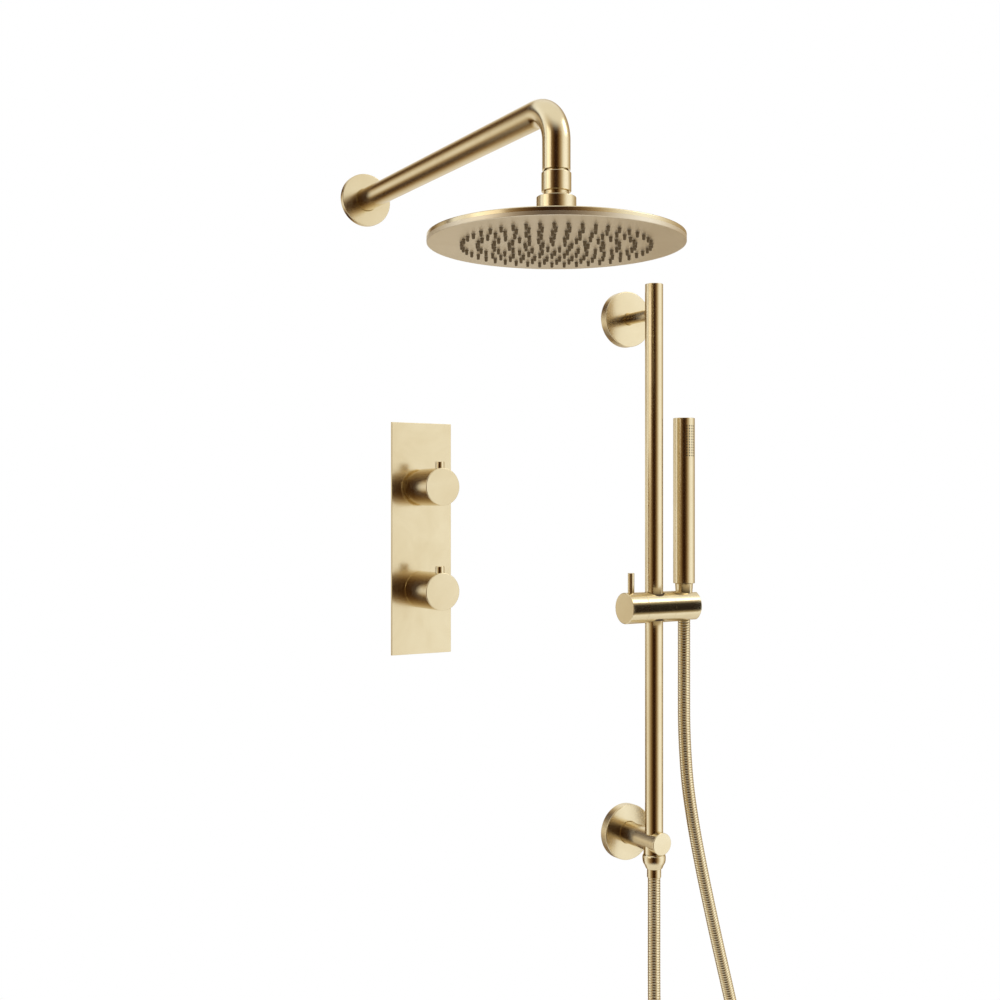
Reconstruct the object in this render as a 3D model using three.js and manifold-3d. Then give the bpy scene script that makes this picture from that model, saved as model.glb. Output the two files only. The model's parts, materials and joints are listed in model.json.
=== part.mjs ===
// Wall-mounted shower set: an overhead rain arm, a two-knob valve plate and a slide-rail kit.
// Millimetres. The origin is the centre of the valve plate's back face, on the finished wall.
// +X runs to the right, -Y out of the wall into the room and +Z up.
// "Out" below means a distance out of the wall, so out = -Y; inside the wall it is negative.
import * as THREE from 'three';
import { mergeVertices } from 'three/addons/utils/BufferGeometryUtils.js';
import Module from 'manifold-3d';

const wasm = await Module();
wasm.setup();

// ---------------------------------------------------------------- driving dimensions
const gap = 0.3;                 // clearance between two pieces that touch

const arm = {
  x: -63.7, z: 341.9, reach: 357.9, tube: 22, wall: 1.5, bend: 28,
  flange: 52, flangeDepth: 6, inWall: 6,
};
const nipple = { length: 34, thread: 20.8, bore: 12, collar: 27, collarDepth: 8, spigot: 16 };
const rain = {
  size: 200, underside: 233.9, rim: 6.6, plate: 1.2, mat: 1.2, shell: 1.6,
  boss: 27.6, waterway: 12, rimWall: 2.5, edgeSize: 0.8, backR: 30, backRise: 10.4,
};
const nozzle = { root: 2.9, tip: 2.1, proud: 3.6, clearance: 0.4, sides: 4, ringStep: 12.2 };
const nozzlesInRing = [8, 15, 23, 30, 38, 45];
const swivel = {
  ball: 24.8, seat: 1.0, play: 0.35, cap: 31, capTop: 6.5, capBelow: 10, lip: 23.2,
  neck: 19.6, neckLength: 3.4, collar: 23.3, collarLength: 14.8, lift: 30.1,
  lowerSeat: [-9, -5.5], upperSeat: [0.5, 2.5],   // heights above the ball's centre
};
const valve = {
  width: 68.5, height: 238.8, plate: 2.6, spacing: 105.6, port: 32,
  knob: 38, knobFront: 49.5, knobShell: 3, hub: 16, hubBack: 17, spindle: 8,
  pin: 9, pinSetBack: 6.4, pinProud: 6.4, screw: 4.2, screwOut: 26,
  cartridge: 27.4, neck: 22, neckFront: 14,
  bodyWidth: 46, bodyDepth: 44, bodyHeight: 172, bodyIn: 22, bossSize: 38,
};
const flowKnobBack = 11;         // the flow knob stands off the plate on a fixed collar
const tempKnobBack = 3;          // the temperature knob runs close to the plate
const flowCollarSize = 34;
const union = { thread: 20.9, flange: 27, spigot: 17.4, bore: 12, length: 28, grip: 8 };

const rail = {
  x: 258.4, out: 58, tube: 20, wall: 1.5, top: 278.7,
  flange: 62.7, flangeDepth: 11, recess: 48, topZ: 246.2, post: 13, outletZ: -336.5,
};
const outlet = { size: 24.5, front: 73, bore: 16, cap: 2.6, spout: 17, stub: 16.4 };
const lowerNut = { size: 25.8, foot: 19.2, length: 15.8, ferrule: 15.7, ferruleLength: 9.6 };

const slider = {
  z: -77.7, size: 34.2, left: 218, right: 312.5, half: 18.25, bush: 1.25, play: 0.35,
  pin: 7.2, pinX: 227.1, pinTop: -39.4, spindle: 14, spindleLength: 4.6, screw: 5.4,
};
const handset = {
  x: 300.3, size: 24.3, top: 132.4, bottom: -52.5, wall: 1.8, cap: 3,
  rows: 12, rowStep: 3, firstRow: 90.2, hole: 1.2, liner: 1.7,
};
const sprayColumns = [-22.5, -7.9, 7.9, 22.5];   // degrees round the handset from straight out
const upperNut = { top: 20.1, foot: 15.2, end: -93 };
const hose = { size: 14, bore: 9, sides: 10, step: 32 };

// The hose hangs as one loop in the plane of the rail, from the wall outlet down, round and up
// to the handset. Values are [x, out, z]. It is made in four runs that meet end to end, because
// the slider, the holder and the handset each carry a part of it along.
const hoseRoute = [
  [258.4, 58, -375.8], [258.4, 58, -425], [258.4, 58, -485], [259.2, 58, -545],
  [262.2, 58, -603], [268.6, 58, -658], [279.5, 58, -708], [296, 58, -749],
  [318, 58, -775], [344, 58, -783], [368, 58, -773], [385.5, 58, -745],
  [394.5, 58, -705], [395.5, 58, -660], [388.5, 58, -612], [375.5, 58, -562],
  [361.8, 58, -512], [348.4, 58, -464], [335.6, 58, -416], [323.5, 58, -368],
  [312.8, 58, -320], [305.3, 58, -276], [301.7, 58, -235], [300.5, 58, -208],
  [300.3, 58, -181], [300.3, 58, -155], [300.3, 58, -134], [300.3, 58, -113],
  [300.3, 58, -93.3],
];
const hoseRuns = {               // the first and last point of each run
  hose_falling_run: [0, 9], hose_rising_run: [9, 21],
  hose_swing_run: [21, 24], hose_top_run: [24, 28],
};

// ---------------------------------------------------------------- finishes
const finish = (colour, metalness, roughness) =>
  new THREE.MeshStandardMaterial({ color: colour, metalness, roughness });
const brushedBrass = finish(0xd8bd84, 1, 0.32);
const rawBrass = finish(0xb59a5c, 1, 0.45);
const silicone = finish(0x6b6050, 0, 0.6);
const rubber = finish(0x2a2a2a, 0, 0.8);
const plastic = finish(0xe6e2d8, 0, 0.5);
const steel = finish(0xb8babd, 1, 0.35);
const darkPlastic = finish(0x33332f, 0, 0.5);

// ---------------------------------------------------------------- shape tools
const sidesFor = (radius) => [[40, 36], [22, 20], [8, 16], [5, 12], [0, 8]].find(([r]) => radius > r)[1];

// Shared corners are merged, slivers dropped, and the faces turned outwards.
function weld(geometry) {
  const plain = geometry.clone();
  plain.deleteAttribute('normal');
  plain.deleteAttribute('uv');
  const merged = mergeVertices(plain, 1e-4);
  const at = (i) => new THREE.Vector3().fromBufferAttribute(merged.attributes.position, i);
  const index = [];
  let volume = 0;
  for (let i = 0; i < merged.index.count; i += 3) {
    const [a, b, c] = [0, 1, 2].map((k) => merged.index.getX(i + k));
    if (a === b || b === c || c === a) continue;
    index.push(a, b, c);
    volume += at(a).dot(at(b).cross(at(c)));
  }
  if (volume < 0) index.reverse();
  merged.setIndex(index);
  return merged;
}

function toSolid(geometry) {
  const welded = weld(geometry);
  return new wasm.Manifold(new wasm.Mesh({
    numProp: 3,
    vertProperties: Float32Array.from(welded.attributes.position.array),
    triVerts: Uint32Array.from(welded.index.array),
  }));
}

function toGeometry(solid) {
  const mesh = solid.getMesh();
  const geometry = new THREE.BufferGeometry();
  geometry.setAttribute('position', new THREE.BufferAttribute(Float32Array.from(mesh.vertProperties), 3));
  geometry.setIndex(Array.from(mesh.triVerts));
  return geometry;
}

const cut = (base, ...tools) =>
  toGeometry(tools.reduce((solid, tool) => solid.subtract(toSolid(tool)), toSolid(base)));
const join = (base, ...others) =>
  toGeometry(others.reduce((solid, other) => solid.add(toSolid(other)), toSolid(base)));

// A turned piece about +Z. The profile is [radius, height] pairs: it runs from axis to axis,
// or it is a loop round a hole, and then its first point is repeated at the end.
function turned(profile, sides = sidesFor(Math.max(...profile.map(([r]) => r)))) {
  const points = profile.map(([r, h]) => new THREE.Vector2(r, h));
  return weld(new THREE.LatheGeometry(points, sides).rotateX(Math.PI / 2));
}
const loop = (profile) => [...profile, profile[0]];
const rod = (radius, from, to, sides = sidesFor(radius)) =>
  turned([[0, from], [radius, from], [radius, to], [0, to]], sides);
const pipe = (outer, inner, from, to, sides = sidesFor(outer)) =>
  turned(loop([[inner, from], [outer, from], [outer, to], [inner, to]]), sides);

// Evenly spaced points round a circle, for flat outlines and their holes.
function circle(x, y, radius, sides) {
  return Array.from({ length: sides }, (_, i) => {
    const turn = (i / sides) * 2 * Math.PI;
    return new THREE.Vector2(x + radius * Math.cos(turn), y + radius * Math.sin(turn));
  });
}

// The three ways that a +Z piece is laid: its height along "out", along +X, or downwards.
const outwards = (geometry) => geometry.clone().rotateX(Math.PI / 2);
const sideways = (geometry) => geometry.clone().rotateY(Math.PI / 2);
const downwards = (geometry) => geometry.clone().rotateX(Math.PI);
const moved = (geometry, x, y, z) => geometry.clone().translate(x, y, z);

// A point of a sphere's outline, as [radius, height above its centre].
const onSphere = (radius, height) => [Math.sqrt(radius * radius - height * height), height];

function piece(name, material, geometry, place = [0, 0, 0]) {
  const welded = weld(geometry);
  welded.computeVertexNormals();
  const mesh = new THREE.Mesh(welded, material);
  mesh.name = name;
  mesh.position.set(...place);
  return mesh;
}

function assembly(place, ...meshes) {
  const group = new THREE.Group();
  group.position.set(...place);
  group.add(...meshes);
  return group;
}

// ---------------------------------------------------------------- overhead arm
// Straight out of the wall, a quarter bend, then straight down. The straight runs take one
// step each and the bend takes the rest.
class ElbowCurve extends THREE.Curve {
  constructor(start, reach, radius, end, bendSteps) {
    super();
    Object.assign(this, { start, reach, radius, end, bendSteps });
  }
  getPoint(t) {
    const step = t * (this.bendSteps + 2);
    const bendStart = this.reach - this.radius;
    if (step <= 1) {
      return new THREE.Vector3(0, -(this.start + (bendStart - this.start) * step), 0);
    }
    if (step >= this.bendSteps + 1) {
      const along = step - this.bendSteps - 1;
      return new THREE.Vector3(0, -this.reach, -this.radius - (this.end - this.radius) * along);
    }
    const turn = ((step - 1) / this.bendSteps) * (Math.PI / 2);
    const out = bendStart + this.radius * Math.sin(turn);
    return new THREE.Vector3(0, -out, -this.radius * (1 - Math.cos(turn)));
  }
  getTangent(t) {
    const step = t * (this.bendSteps + 2);
    const turn = THREE.MathUtils.clamp((step - 1) / this.bendSteps, 0, 1) * (Math.PI / 2);
    return new THREE.Vector3(0, -Math.cos(turn), -Math.sin(turn));
  }
  getPointAt(t) { return this.getPoint(t); }
  getTangentAt(t) { return this.getTangent(t); }
}

// A round section, with a hole in it where inner isn't 0, swept along a curve.
function swept(curve, outer, inner, steps, sides) {
  const section = new THREE.Shape(circle(0, 0, outer, sides));
  if (inner > 0) section.holes.push(new THREE.Path(circle(0, 0, inner, sides).reverse()));
  return new THREE.ExtrudeGeometry(section, { steps, extrudePath: curve, bevelEnabled: false });
}

const ballZ = rain.underside + swivel.lift;
const capTopZ = ballZ + swivel.capTop;
const neckBottomZ = capTopZ + 0.8;
const collarBottomZ = neckBottomZ + swivel.neckLength;
const collarTopZ = collarBottomZ + swivel.collarLength;

function makeArm() {
  const tubeR = arm.tube / 2;
  const bore = tubeR + gap;
  const flangeR = arm.flange / 2;
  const sealDepth = 2.8;
  const sealR = bore + 2.6;
  const flange = turned(loop([
    [bore, sealDepth], [sealR, sealDepth], [sealR, 0], [flangeR - 0.6, 0], [flangeR, 0.6],
    [flangeR, arm.flangeDepth - 0.8], [flangeR - 0.8, arm.flangeDepth], [bore, arm.flangeDepth],
  ]));
  const seal = pipe(sealR - gap, bore, gap, sealDepth - gap);
  const bendSteps = 8;
  const drop = arm.z - collarTopZ - gap;
  const route = new ElbowCurve(-arm.inWall, arm.reach, arm.bend, drop, bendSteps);
  const tube = swept(route, tubeR, tubeR - arm.wall, bendSteps + 2, 16);
  const spigot = tubeR - arm.wall - gap;
  const face = -arm.inWall - gap;
  const [boreR, threadR, collarR] = [nipple.bore, nipple.thread, nipple.collar].map((d) => d / 2);
  const inlet = turned(loop([
    [boreR, face - nipple.length], [threadR, face - nipple.length],
    [threadR, face - nipple.collarDepth], [collarR, face - nipple.collarDepth], [collarR, face],
    [spigot, face], [spigot, face + nipple.spigot], [boreR, face + nipple.spigot],
  ]), 12);
  return assembly([arm.x, 0, arm.z],
    piece('arm_wall_flange', brushedBrass, outwards(flange)),
    piece('arm_flange_seal', rubber, outwards(seal)),
    piece('arm_inlet_nipple', rawBrass, outwards(inlet)),
    piece('arm_tube', brushedBrass, tube));
}

// ---------------------------------------------------------------- ball joint and rain head
function makeSwivel() {
  const ballR = swivel.ball / 2;
  const waterR = rain.waterway / 2 - 2;
  const neckR = swivel.neck / 2;
  const tubeBoreR = arm.tube / 2 - arm.wall;
  const collarR = swivel.collar / 2;
  const neckFoot = neckBottomZ - ballZ;
  const neckHead = collarBottomZ - ballZ - gap;
  const ringStep = (neckHead - neckFoot) / 4;
  const collar = turned(loop([
    [waterR + 2.4, collarBottomZ], [collarR - 0.5, collarBottomZ], [collarR, collarBottomZ + 0.5],
    [collarR, collarTopZ - 0.5], [collarR - 0.5, collarTopZ], [tubeBoreR - gap, collarTopZ],
    [tubeBoreR - gap, collarTopZ + 8], [waterR + 2.4, collarTopZ + 8],
  ]));
  const ball = turned(loop([
    [waterR, -Math.sqrt(ballR * ballR - waterR * waterR)],
    ...[-10.6, -7.5, -4, 0, 4].map((h) => onSphere(ballR, h)),
    onSphere(ballR, neckFoot - 0.6), [neckR, neckFoot], [neckR, neckFoot + ringStep],
    [neckR - 0.5, neckFoot + ringStep * 1.4], [neckR, neckFoot + ringStep * 2.2],
    [neckR, neckHead], [waterR + 2, neckHead], [waterR + 2, neckHead + 9], [waterR, neckHead + 9],
  ]));
  const seatIn = ballR + swivel.play;
  const seatOut = seatIn + swivel.seat;
  const seat = (low, high) => turned(loop([
    onSphere(seatIn, low), onSphere(seatOut, low), onSphere(seatOut, (low + high) / 2),
    onSphere(seatOut, high), onSphere(seatIn, high), onSphere(seatIn, (low + high) / 2),
  ]));
  const cavity = seatOut + swivel.play;
  const capR = swivel.cap / 2;
  const lipR = swivel.lip / 2;
  const lipUnder = swivel.capTop - 1.2;
  const cap = turned(loop([
    [lipR, lipUnder], onSphere(cavity, lipUnder), onSphere(cavity, lipUnder / 2), [cavity, 0],
    [cavity, -swivel.capBelow], [capR - 0.5, -swivel.capBelow], [capR, 0.5 - swivel.capBelow],
    [capR, swivel.capTop - 0.8], [capR - 0.8, swivel.capTop], [lipR, swivel.capTop],
  ]));
  const column = [0, -arm.reach, 0];
  const atBall = [0, -arm.reach, ballZ];
  return assembly([arm.x, 0, 0],
    piece('swivel_collar', brushedBrass, collar, column),
    piece('swivel_ball', brushedBrass, ball, atBall),
    piece('swivel_lower_seat', plastic, seat(...swivel.lowerSeat), atBall),
    piece('swivel_upper_seat', plastic, seat(...swivel.upperSeat), atBall),
    piece('swivel_cap', brushedBrass, cap, atBall));
}

function nozzlePlaces() {
  return nozzlesInRing.flatMap((count, ring) => {
    const radius = nozzle.ringStep * (ring + 1);
    return Array.from({ length: count }, (_, i) => {
      const turn = ((i + 0.5 * (ring % 2)) / count) * 2 * Math.PI;
      return [radius * Math.cos(turn), radius * Math.sin(turn)];
    });
  });
}

function makeHead() {
  const outerR = rain.size / 2;
  const bossR = rain.boss / 2;
  const waterR = rain.waterway / 2;
  const { backR, backRise, edgeSize } = rain;
  const innerR = outerR - rain.rimWall;
  const panHeight = rain.rim / 2 - gap / 2;
  const shellFoot = panHeight + gap;
  const ceiling = rain.rim - rain.shell;
  const seatIn = swivel.ball / 2 + swivel.play;
  const cup = seatIn + swivel.seat + swivel.play;
  const ball = swivel.lift;
  const shell = turned(loop([
    [waterR, ball - Math.sqrt(cup * cup - waterR * waterR)],
    [cup * 0.7, ball - cup * 0.714], [cup * 0.93, ball - cup * 0.3676],
    [bossR, ball - cup * 0.3676], [bossR, backRise + 8], [backR, backRise],
    [outerR - edgeSize, rain.rim], [outerR, rain.rim - edgeSize], [outerR, shellFoot],
    [innerR, shellFoot],
    [innerR, ceiling], [backR, backRise - rain.shell], [waterR, backRise - rain.shell],
  ]));
  const places = nozzlePlaces();
  const holeR = nozzle.root / 2 + nozzle.clearance;
  const disc = new THREE.Shape(circle(0, 0, outerR - edgeSize, sidesFor(outerR)));
  disc.holes.push(...places.map(([x, y]) =>
    new THREE.Path(circle(x, y, holeR, nozzle.sides).reverse())));
  const drilled = new THREE.ExtrudeGeometry(disc, { depth: rain.plate, bevelEnabled: false });
  const rimRing = pipe(outerR, innerR, 0, panHeight);
  const edge = turned(loop([         // cuts the lower rim back to a broken edge
    [outerR - 3, -1], [outerR - edgeSize, -1], [outerR - edgeSize, 0], [outerR, edgeSize],
    [outerR + 2, edgeSize], [outerR + 2, -2], [outerR - 3, -2],
  ]));
  const pan = cut(join(drilled, rimRing), edge);
  const matBottom = rain.plate + gap;
  const matR = outerR - 12;
  const nub = (place) => {
    const [root, tip] = [nozzle.root / 2, nozzle.tip / 2];
    const shape = new THREE.CylinderGeometry(root, tip, matBottom + nozzle.proud + 0.2, nozzle.sides, 1)
      .rotateX(Math.PI / 2)
      .rotateZ(Math.PI / 2);
    return moved(shape, place[0], place[1], (matBottom - nozzle.proud + 0.2) / 2);
  };
  const mat = toGeometry(wasm.Manifold.union([toSolid(rod(matR, matBottom, matBottom + rain.mat)),
    ...places.map((place) => toSolid(nub(place)))]));
  const gasket = pipe(innerR - gap, matR + 4, matBottom, ceiling - gap, 36);
  const filter = turned(loop([[2, 0], [waterR - gap, 0], [waterR - gap, 3], [2, 3]]));
  const place = [0, -arm.reach, rain.underside];
  return assembly([arm.x, 0, 0],
    piece('head_top_shell', brushedBrass, shell, place),
    piece('head_face_plate', brushedBrass, pan, place),
    piece('nozzle_mat', silicone, mat, place),
    piece('head_gasket', rubber, gasket, place),
    piece('head_flow_filter', plastic, filter, [0, -arm.reach, rain.underside + 12.2]));
}

// ---------------------------------------------------------------- valve
function rectangle(width, height) {
  const [w, h] = [width / 2, height / 2];
  return [[-w, -h], [w, -h], [w, h], [-w, h]].map(([x, y]) => new THREE.Vector2(x, y));
}

function frame(width, height, band, depth) {
  const shape = new THREE.Shape(rectangle(width, height));
  shape.holes.push(new THREE.Path(rectangle(width - 2 * band, height - 2 * band).reverse()));
  return new THREE.ExtrudeGeometry(shape, { depth, bevelEnabled: false });
}

function makePlate() {
  const edge = 0.4;
  const groove = { inset: 3, band: 6, depth: 1.3 };
  const shape = new THREE.Shape(rectangle(valve.width - 2 * edge, valve.height - 2 * edge));
  for (const z of [-valve.spacing / 2, valve.spacing / 2]) {
    shape.holes.push(new THREE.Path(circle(0, z, valve.port / 2 + edge, 24).reverse()));
  }
  const blank = moved(new THREE.ExtrudeGeometry(shape, {
    depth: valve.plate - 2 * edge, bevelEnabled: true, bevelThickness: edge, bevelSize: edge,
    bevelSegments: 1,
  }), 0, 0, edge);
  const [width, height] = [valve.width - 2 * groove.inset, valve.height - 2 * groove.inset];
  const slot = moved(frame(width, height, groove.band, groove.depth + 1), 0, 0, -1);
  const gasket = frame(width - 2 * gap, height - 2 * gap, groove.band - 2 * gap, groove.depth - gap);
  return [
    piece('valve_plate', brushedBrass, outwards(cut(blank, slot))),
    piece('plate_gasket', rubber, outwards(gasket)),
  ];
}

// One knob with its pin, grub screw, spindle and cartridge, about its own axis.
function makeKnob(name, back, z) {
  const knobR = valve.knob / 2;
  const hubR = valve.hub / 2;
  const boreR = valve.spindle / 2 + gap;
  const shellR = knobR - valve.knobShell;
  const front = valve.knobFront;
  const web = front - 3.5;
  const blank = turned([
    [0, web - 2], [boreR, web - 2], [boreR, valve.hubBack], [hubR, valve.hubBack], [hubR, web],
    [shellR, web], [shellR, back], [knobR - 0.3, back], [knobR, back + 0.3], [knobR, front - 0.8],
    [knobR - 0.8, front], [0, front],
  ], 20);
  const pinOut = front - valve.pinSetBack;
  const pinR = valve.pin / 2;
  const pinTop = knobR + valve.pinProud;
  const pinFoot = shellR + 0.6;
  const pinHole = rod(pinR + gap, pinFoot - gap, knobR + 4, 12);
  const screwR = valve.screw / 2;
  const screwHole = downwards(rod(screwR + gap, 0, knobR + 4));
  const radial = (geometry, out) => moved(geometry, 0, -out, 0);
  const knob = cut(outwards(blank), radial(pinHole, pinOut), radial(screwHole, valve.screwOut));
  const pin = turned([
    [0, pinFoot], [pinR, pinFoot], [pinR, pinTop - 0.6], [pinR - 0.6, pinTop], [0, pinTop],
  ], 12);
  const screw = downwards(rod(screwR, valve.spindle / 2 + gap, hubR));
  const spindle = rod(valve.spindle / 2, -26, web - 2 - gap);
  const cartridgeR = valve.cartridge / 2;
  const neckR = valve.neck / 2;
  const shoulder = -4;
  const cartridge = turned(loop([
    [boreR, -48], [cartridgeR, -48], [cartridgeR, shoulder], [neckR, shoulder],
    [neckR, valve.neckFront], [boreR, valve.neckFront],
  ]));
  return [
    piece(`${name}_knob`, brushedBrass, knob, [0, 0, z]),
    piece(`${name}_knob_pin`, brushedBrass, radial(pin, pinOut), [0, 0, z]),
    piece(`${name}_knob_screw`, steel, radial(screw, valve.screwOut), [0, 0, z]),
    piece(`${name}_spindle`, rawBrass, outwards(spindle), [0, 0, z]),
    piece(`${name}_cartridge`, rawBrass, outwards(cartridge), [0, 0, z]),
  ];
}

function makeValveBody() {
  const { bodyWidth, bodyDepth, bodyHeight, bodyIn, spacing } = valve;
  const middle = -bodyIn - bodyDepth / 2;
  const block = moved(new THREE.BoxGeometry(bodyWidth, bodyHeight, bodyDepth), 0, 0, middle);
  const boreR = valve.cartridge / 2 + gap;
  const portR = union.spigot / 2 + gap;
  const bosses = [];
  const bores = [];
  for (const z of [-spacing / 2, spacing / 2]) {
    bosses.push(moved(rod(valve.bossSize / 2, -bodyIn - 1, -5), 0, z, 0));
    bores.push(moved(rod(boreR, -48 - gap, 0), 0, z, 0));
  }
  const depth = union.grip + 2.5;   // deep enough to open into the cartridge bore
  const along = new THREE.CylinderGeometry(portR, portR, depth + 4, 12);
  const top = moved(along, 0, bodyHeight / 2 - depth / 2 + 2, middle);
  const bottom = moved(along, 0, -bodyHeight / 2 + depth / 2 - 2, middle);
  const across = along.clone().rotateZ(Math.PI / 2);
  const right = moved(across, bodyWidth / 2 - depth / 2 + 2, -spacing / 2, middle);
  const left = moved(across, -bodyWidth / 2 + depth / 2 - 2, -spacing / 2, middle);
  const channel = moved(new THREE.CylinderGeometry(6, 6, bodyHeight - 2 * depth + 2, 8), 0, 0, middle);
  const body = cut(join(block, ...bosses), ...bores, top, bottom, right, left, channel);

  // A threaded union stands in each port; its spigot is inside the port.
  const base = turned(loop([
    [union.bore / 2, -union.grip], [union.spigot / 2, -union.grip], [union.spigot / 2, gap],
    [union.flange / 2, gap], [union.flange / 2, 6], [union.thread / 2, 6],
    [union.thread / 2, union.length - union.grip], [union.bore / 2, union.length - union.grip],
  ]), 10);
  const [halfW, halfH] = [bodyWidth / 2, bodyHeight / 2];
  return [
    piece('valve_body', rawBrass, outwards(body)),
    piece('cold_inlet_union', rawBrass, sideways(base), [halfW, -middle, -spacing / 2]),
    piece('hot_inlet_union', rawBrass, sideways(base).rotateZ(Math.PI), [-halfW, -middle, -spacing / 2]),
    piece('head_outlet_union', rawBrass, base, [0, -middle, halfH]),
    piece('handset_outlet_union', rawBrass, downwards(base), [0, -middle, -halfH]),
  ];
}

function makeValve() {
  const neckBore = valve.neck / 2 + gap;
  const collar = pipe(flowCollarSize / 2, neckBore, valve.plate + gap, flowKnobBack - gap);
  const stopRing = pipe(valve.knob / 2 - valve.knobShell - 1.5, neckBore, 5, 11);
  const [flowZ, tempZ] = [valve.spacing / 2, -valve.spacing / 2];
  return assembly([0, 0, 0],
    ...makePlate(),
    ...makeKnob('flow', flowKnobBack, flowZ),
    piece('flow_collar', brushedBrass, outwards(collar), [0, 0, flowZ]),
    ...makeKnob('temp', tempKnobBack, tempZ),
    piece('temp_stop_ring', darkPlastic, outwards(stopRing), [0, 0, tempZ]),
    ...makeValveBody());
}

// ---------------------------------------------------------------- slide rail
const railFlange = (boreR) => {
  const flangeR = rail.flange / 2;
  const recessR = rail.recess / 2;
  return turned(loop([
    [boreR, 7], [recessR, 7], [recessR, 0], [flangeR - 0.5, 0], [flangeR, 0.5],
    [flangeR, rail.flangeDepth - 1], [flangeR - 1, rail.flangeDepth], [boreR, rail.flangeDepth],
  ]));
};

function makeRail() {
  const railR = rail.tube / 2;
  const boreR = railR - rail.wall;
  const outletR = outlet.size / 2;
  const capRim = 1.2;
  const saddle = outwards(rod(outletR + gap, 0, rail.out * 2, 24));
  const tubeBlank = pipe(railR, boreR, rail.outletZ, rail.top);
  const tube = cut(tubeBlank, moved(saddle, 0, rail.out, rail.outletZ));
  const capTop = turned([
    [0, rail.top - 8], [boreR - gap, rail.top - 8], [boreR - gap, rail.top - capRim / 2],
    [boreR - gap - 0.5, rail.top], [0, rail.top],
  ]);

  const postR = rail.post / 2;
  const stemR = 4.2;
  const postBlank = turned(loop([
    [stemR + gap, 7.5], [postR, 7.5], [postR, rail.out], [1, rail.out], [1, 25], [stemR + gap, 25],
  ]), 16);
  const railBar = moved(rod(railR + gap, -40, 40), 0, -rail.out, 0);
  const post = cut(outwards(postBlank), railBar);
  const wallBoss = turned(loop([
    [2.9, 0], [20, 0], [20, 3.5], [stemR, 3.5], [stemR, 24], [2.9, 24],
  ]));
  const wallScrew = turned([
    [0, -34], [2.4, -29], [2.4, 24 + gap], [3.9, 24 + gap], [3.9, 24.9], [0, 24.9],
  ], 8);

  const outletBore = outlet.bore / 2;
  const capFoot = outlet.front - outlet.cap;
  const stubR = outlet.stub / 2;
  const spoutR = outlet.spout / 2;
  const nutTop = outletR + 0.9;
  const run = outwards(rod(outletR, gap, capFoot - gap, 24));
  const stub = moved(rod(stubR, 0, 20), 0, -rail.out, 0);
  const spout = moved(downwards(rod(spoutR, 0, outletR + 9)), 0, -rail.out, 0);
  const collar = moved(downwards(rod(outletR - 0.6, 0, nutTop)), 0, -rail.out, 0);
  const bore = outwards(rod(outletBore, -1, capFoot - 8));
  const spoutBore = moved(downwards(rod(5, 0, outletR + 12)), 0, -rail.out, 0);
  const body = cut(join(run, stub, collar, spout), bore, spoutBore);
  const endCap = turned([
    [0, capFoot], [outletR - 0.2, capFoot], [outletR, capFoot + 0.2],
    [outletR, outlet.front - 0.7], [outletR - 0.7, outlet.front], [0, outlet.front],
  ], 24);
  const wallNipple = turned(loop([
    [5, -38], [10.4, -38], [10.4, 0], [outletBore - gap, 0], [outletBore - gap, 12], [5, 12],
  ]), 12);
  const checkValve = pipe(outletBore - gap, 3, 20, 34);

  const lowered = [rail.x, 0, rail.outletZ];
  const raised = [rail.x, 0, rail.topZ];
  return assembly([0, 0, 0],
    piece('rail_tube', brushedBrass, tube, [rail.x, -rail.out, 0]),
    piece('rail_top_cap', brushedBrass, capTop, [rail.x, -rail.out, 0]),
    piece('top_flange', brushedBrass, outwards(railFlange(postR + gap)), raised),
    piece('top_post', brushedBrass, post, raised),
    piece('top_wall_boss', rawBrass, outwards(wallBoss), raised),
    piece('top_wall_screw', steel, outwards(wallScrew), raised),
    piece('outlet_flange', brushedBrass, outwards(railFlange(outletR + gap)), lowered),
    piece('outlet_post', brushedBrass, body, lowered),
    piece('outlet_end_cap', brushedBrass, outwards(endCap), lowered),
    piece('outlet_wall_nipple', rawBrass, outwards(wallNipple), lowered),
    piece('outlet_check_valve', plastic, outwards(checkValve), lowered));
}

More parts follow.
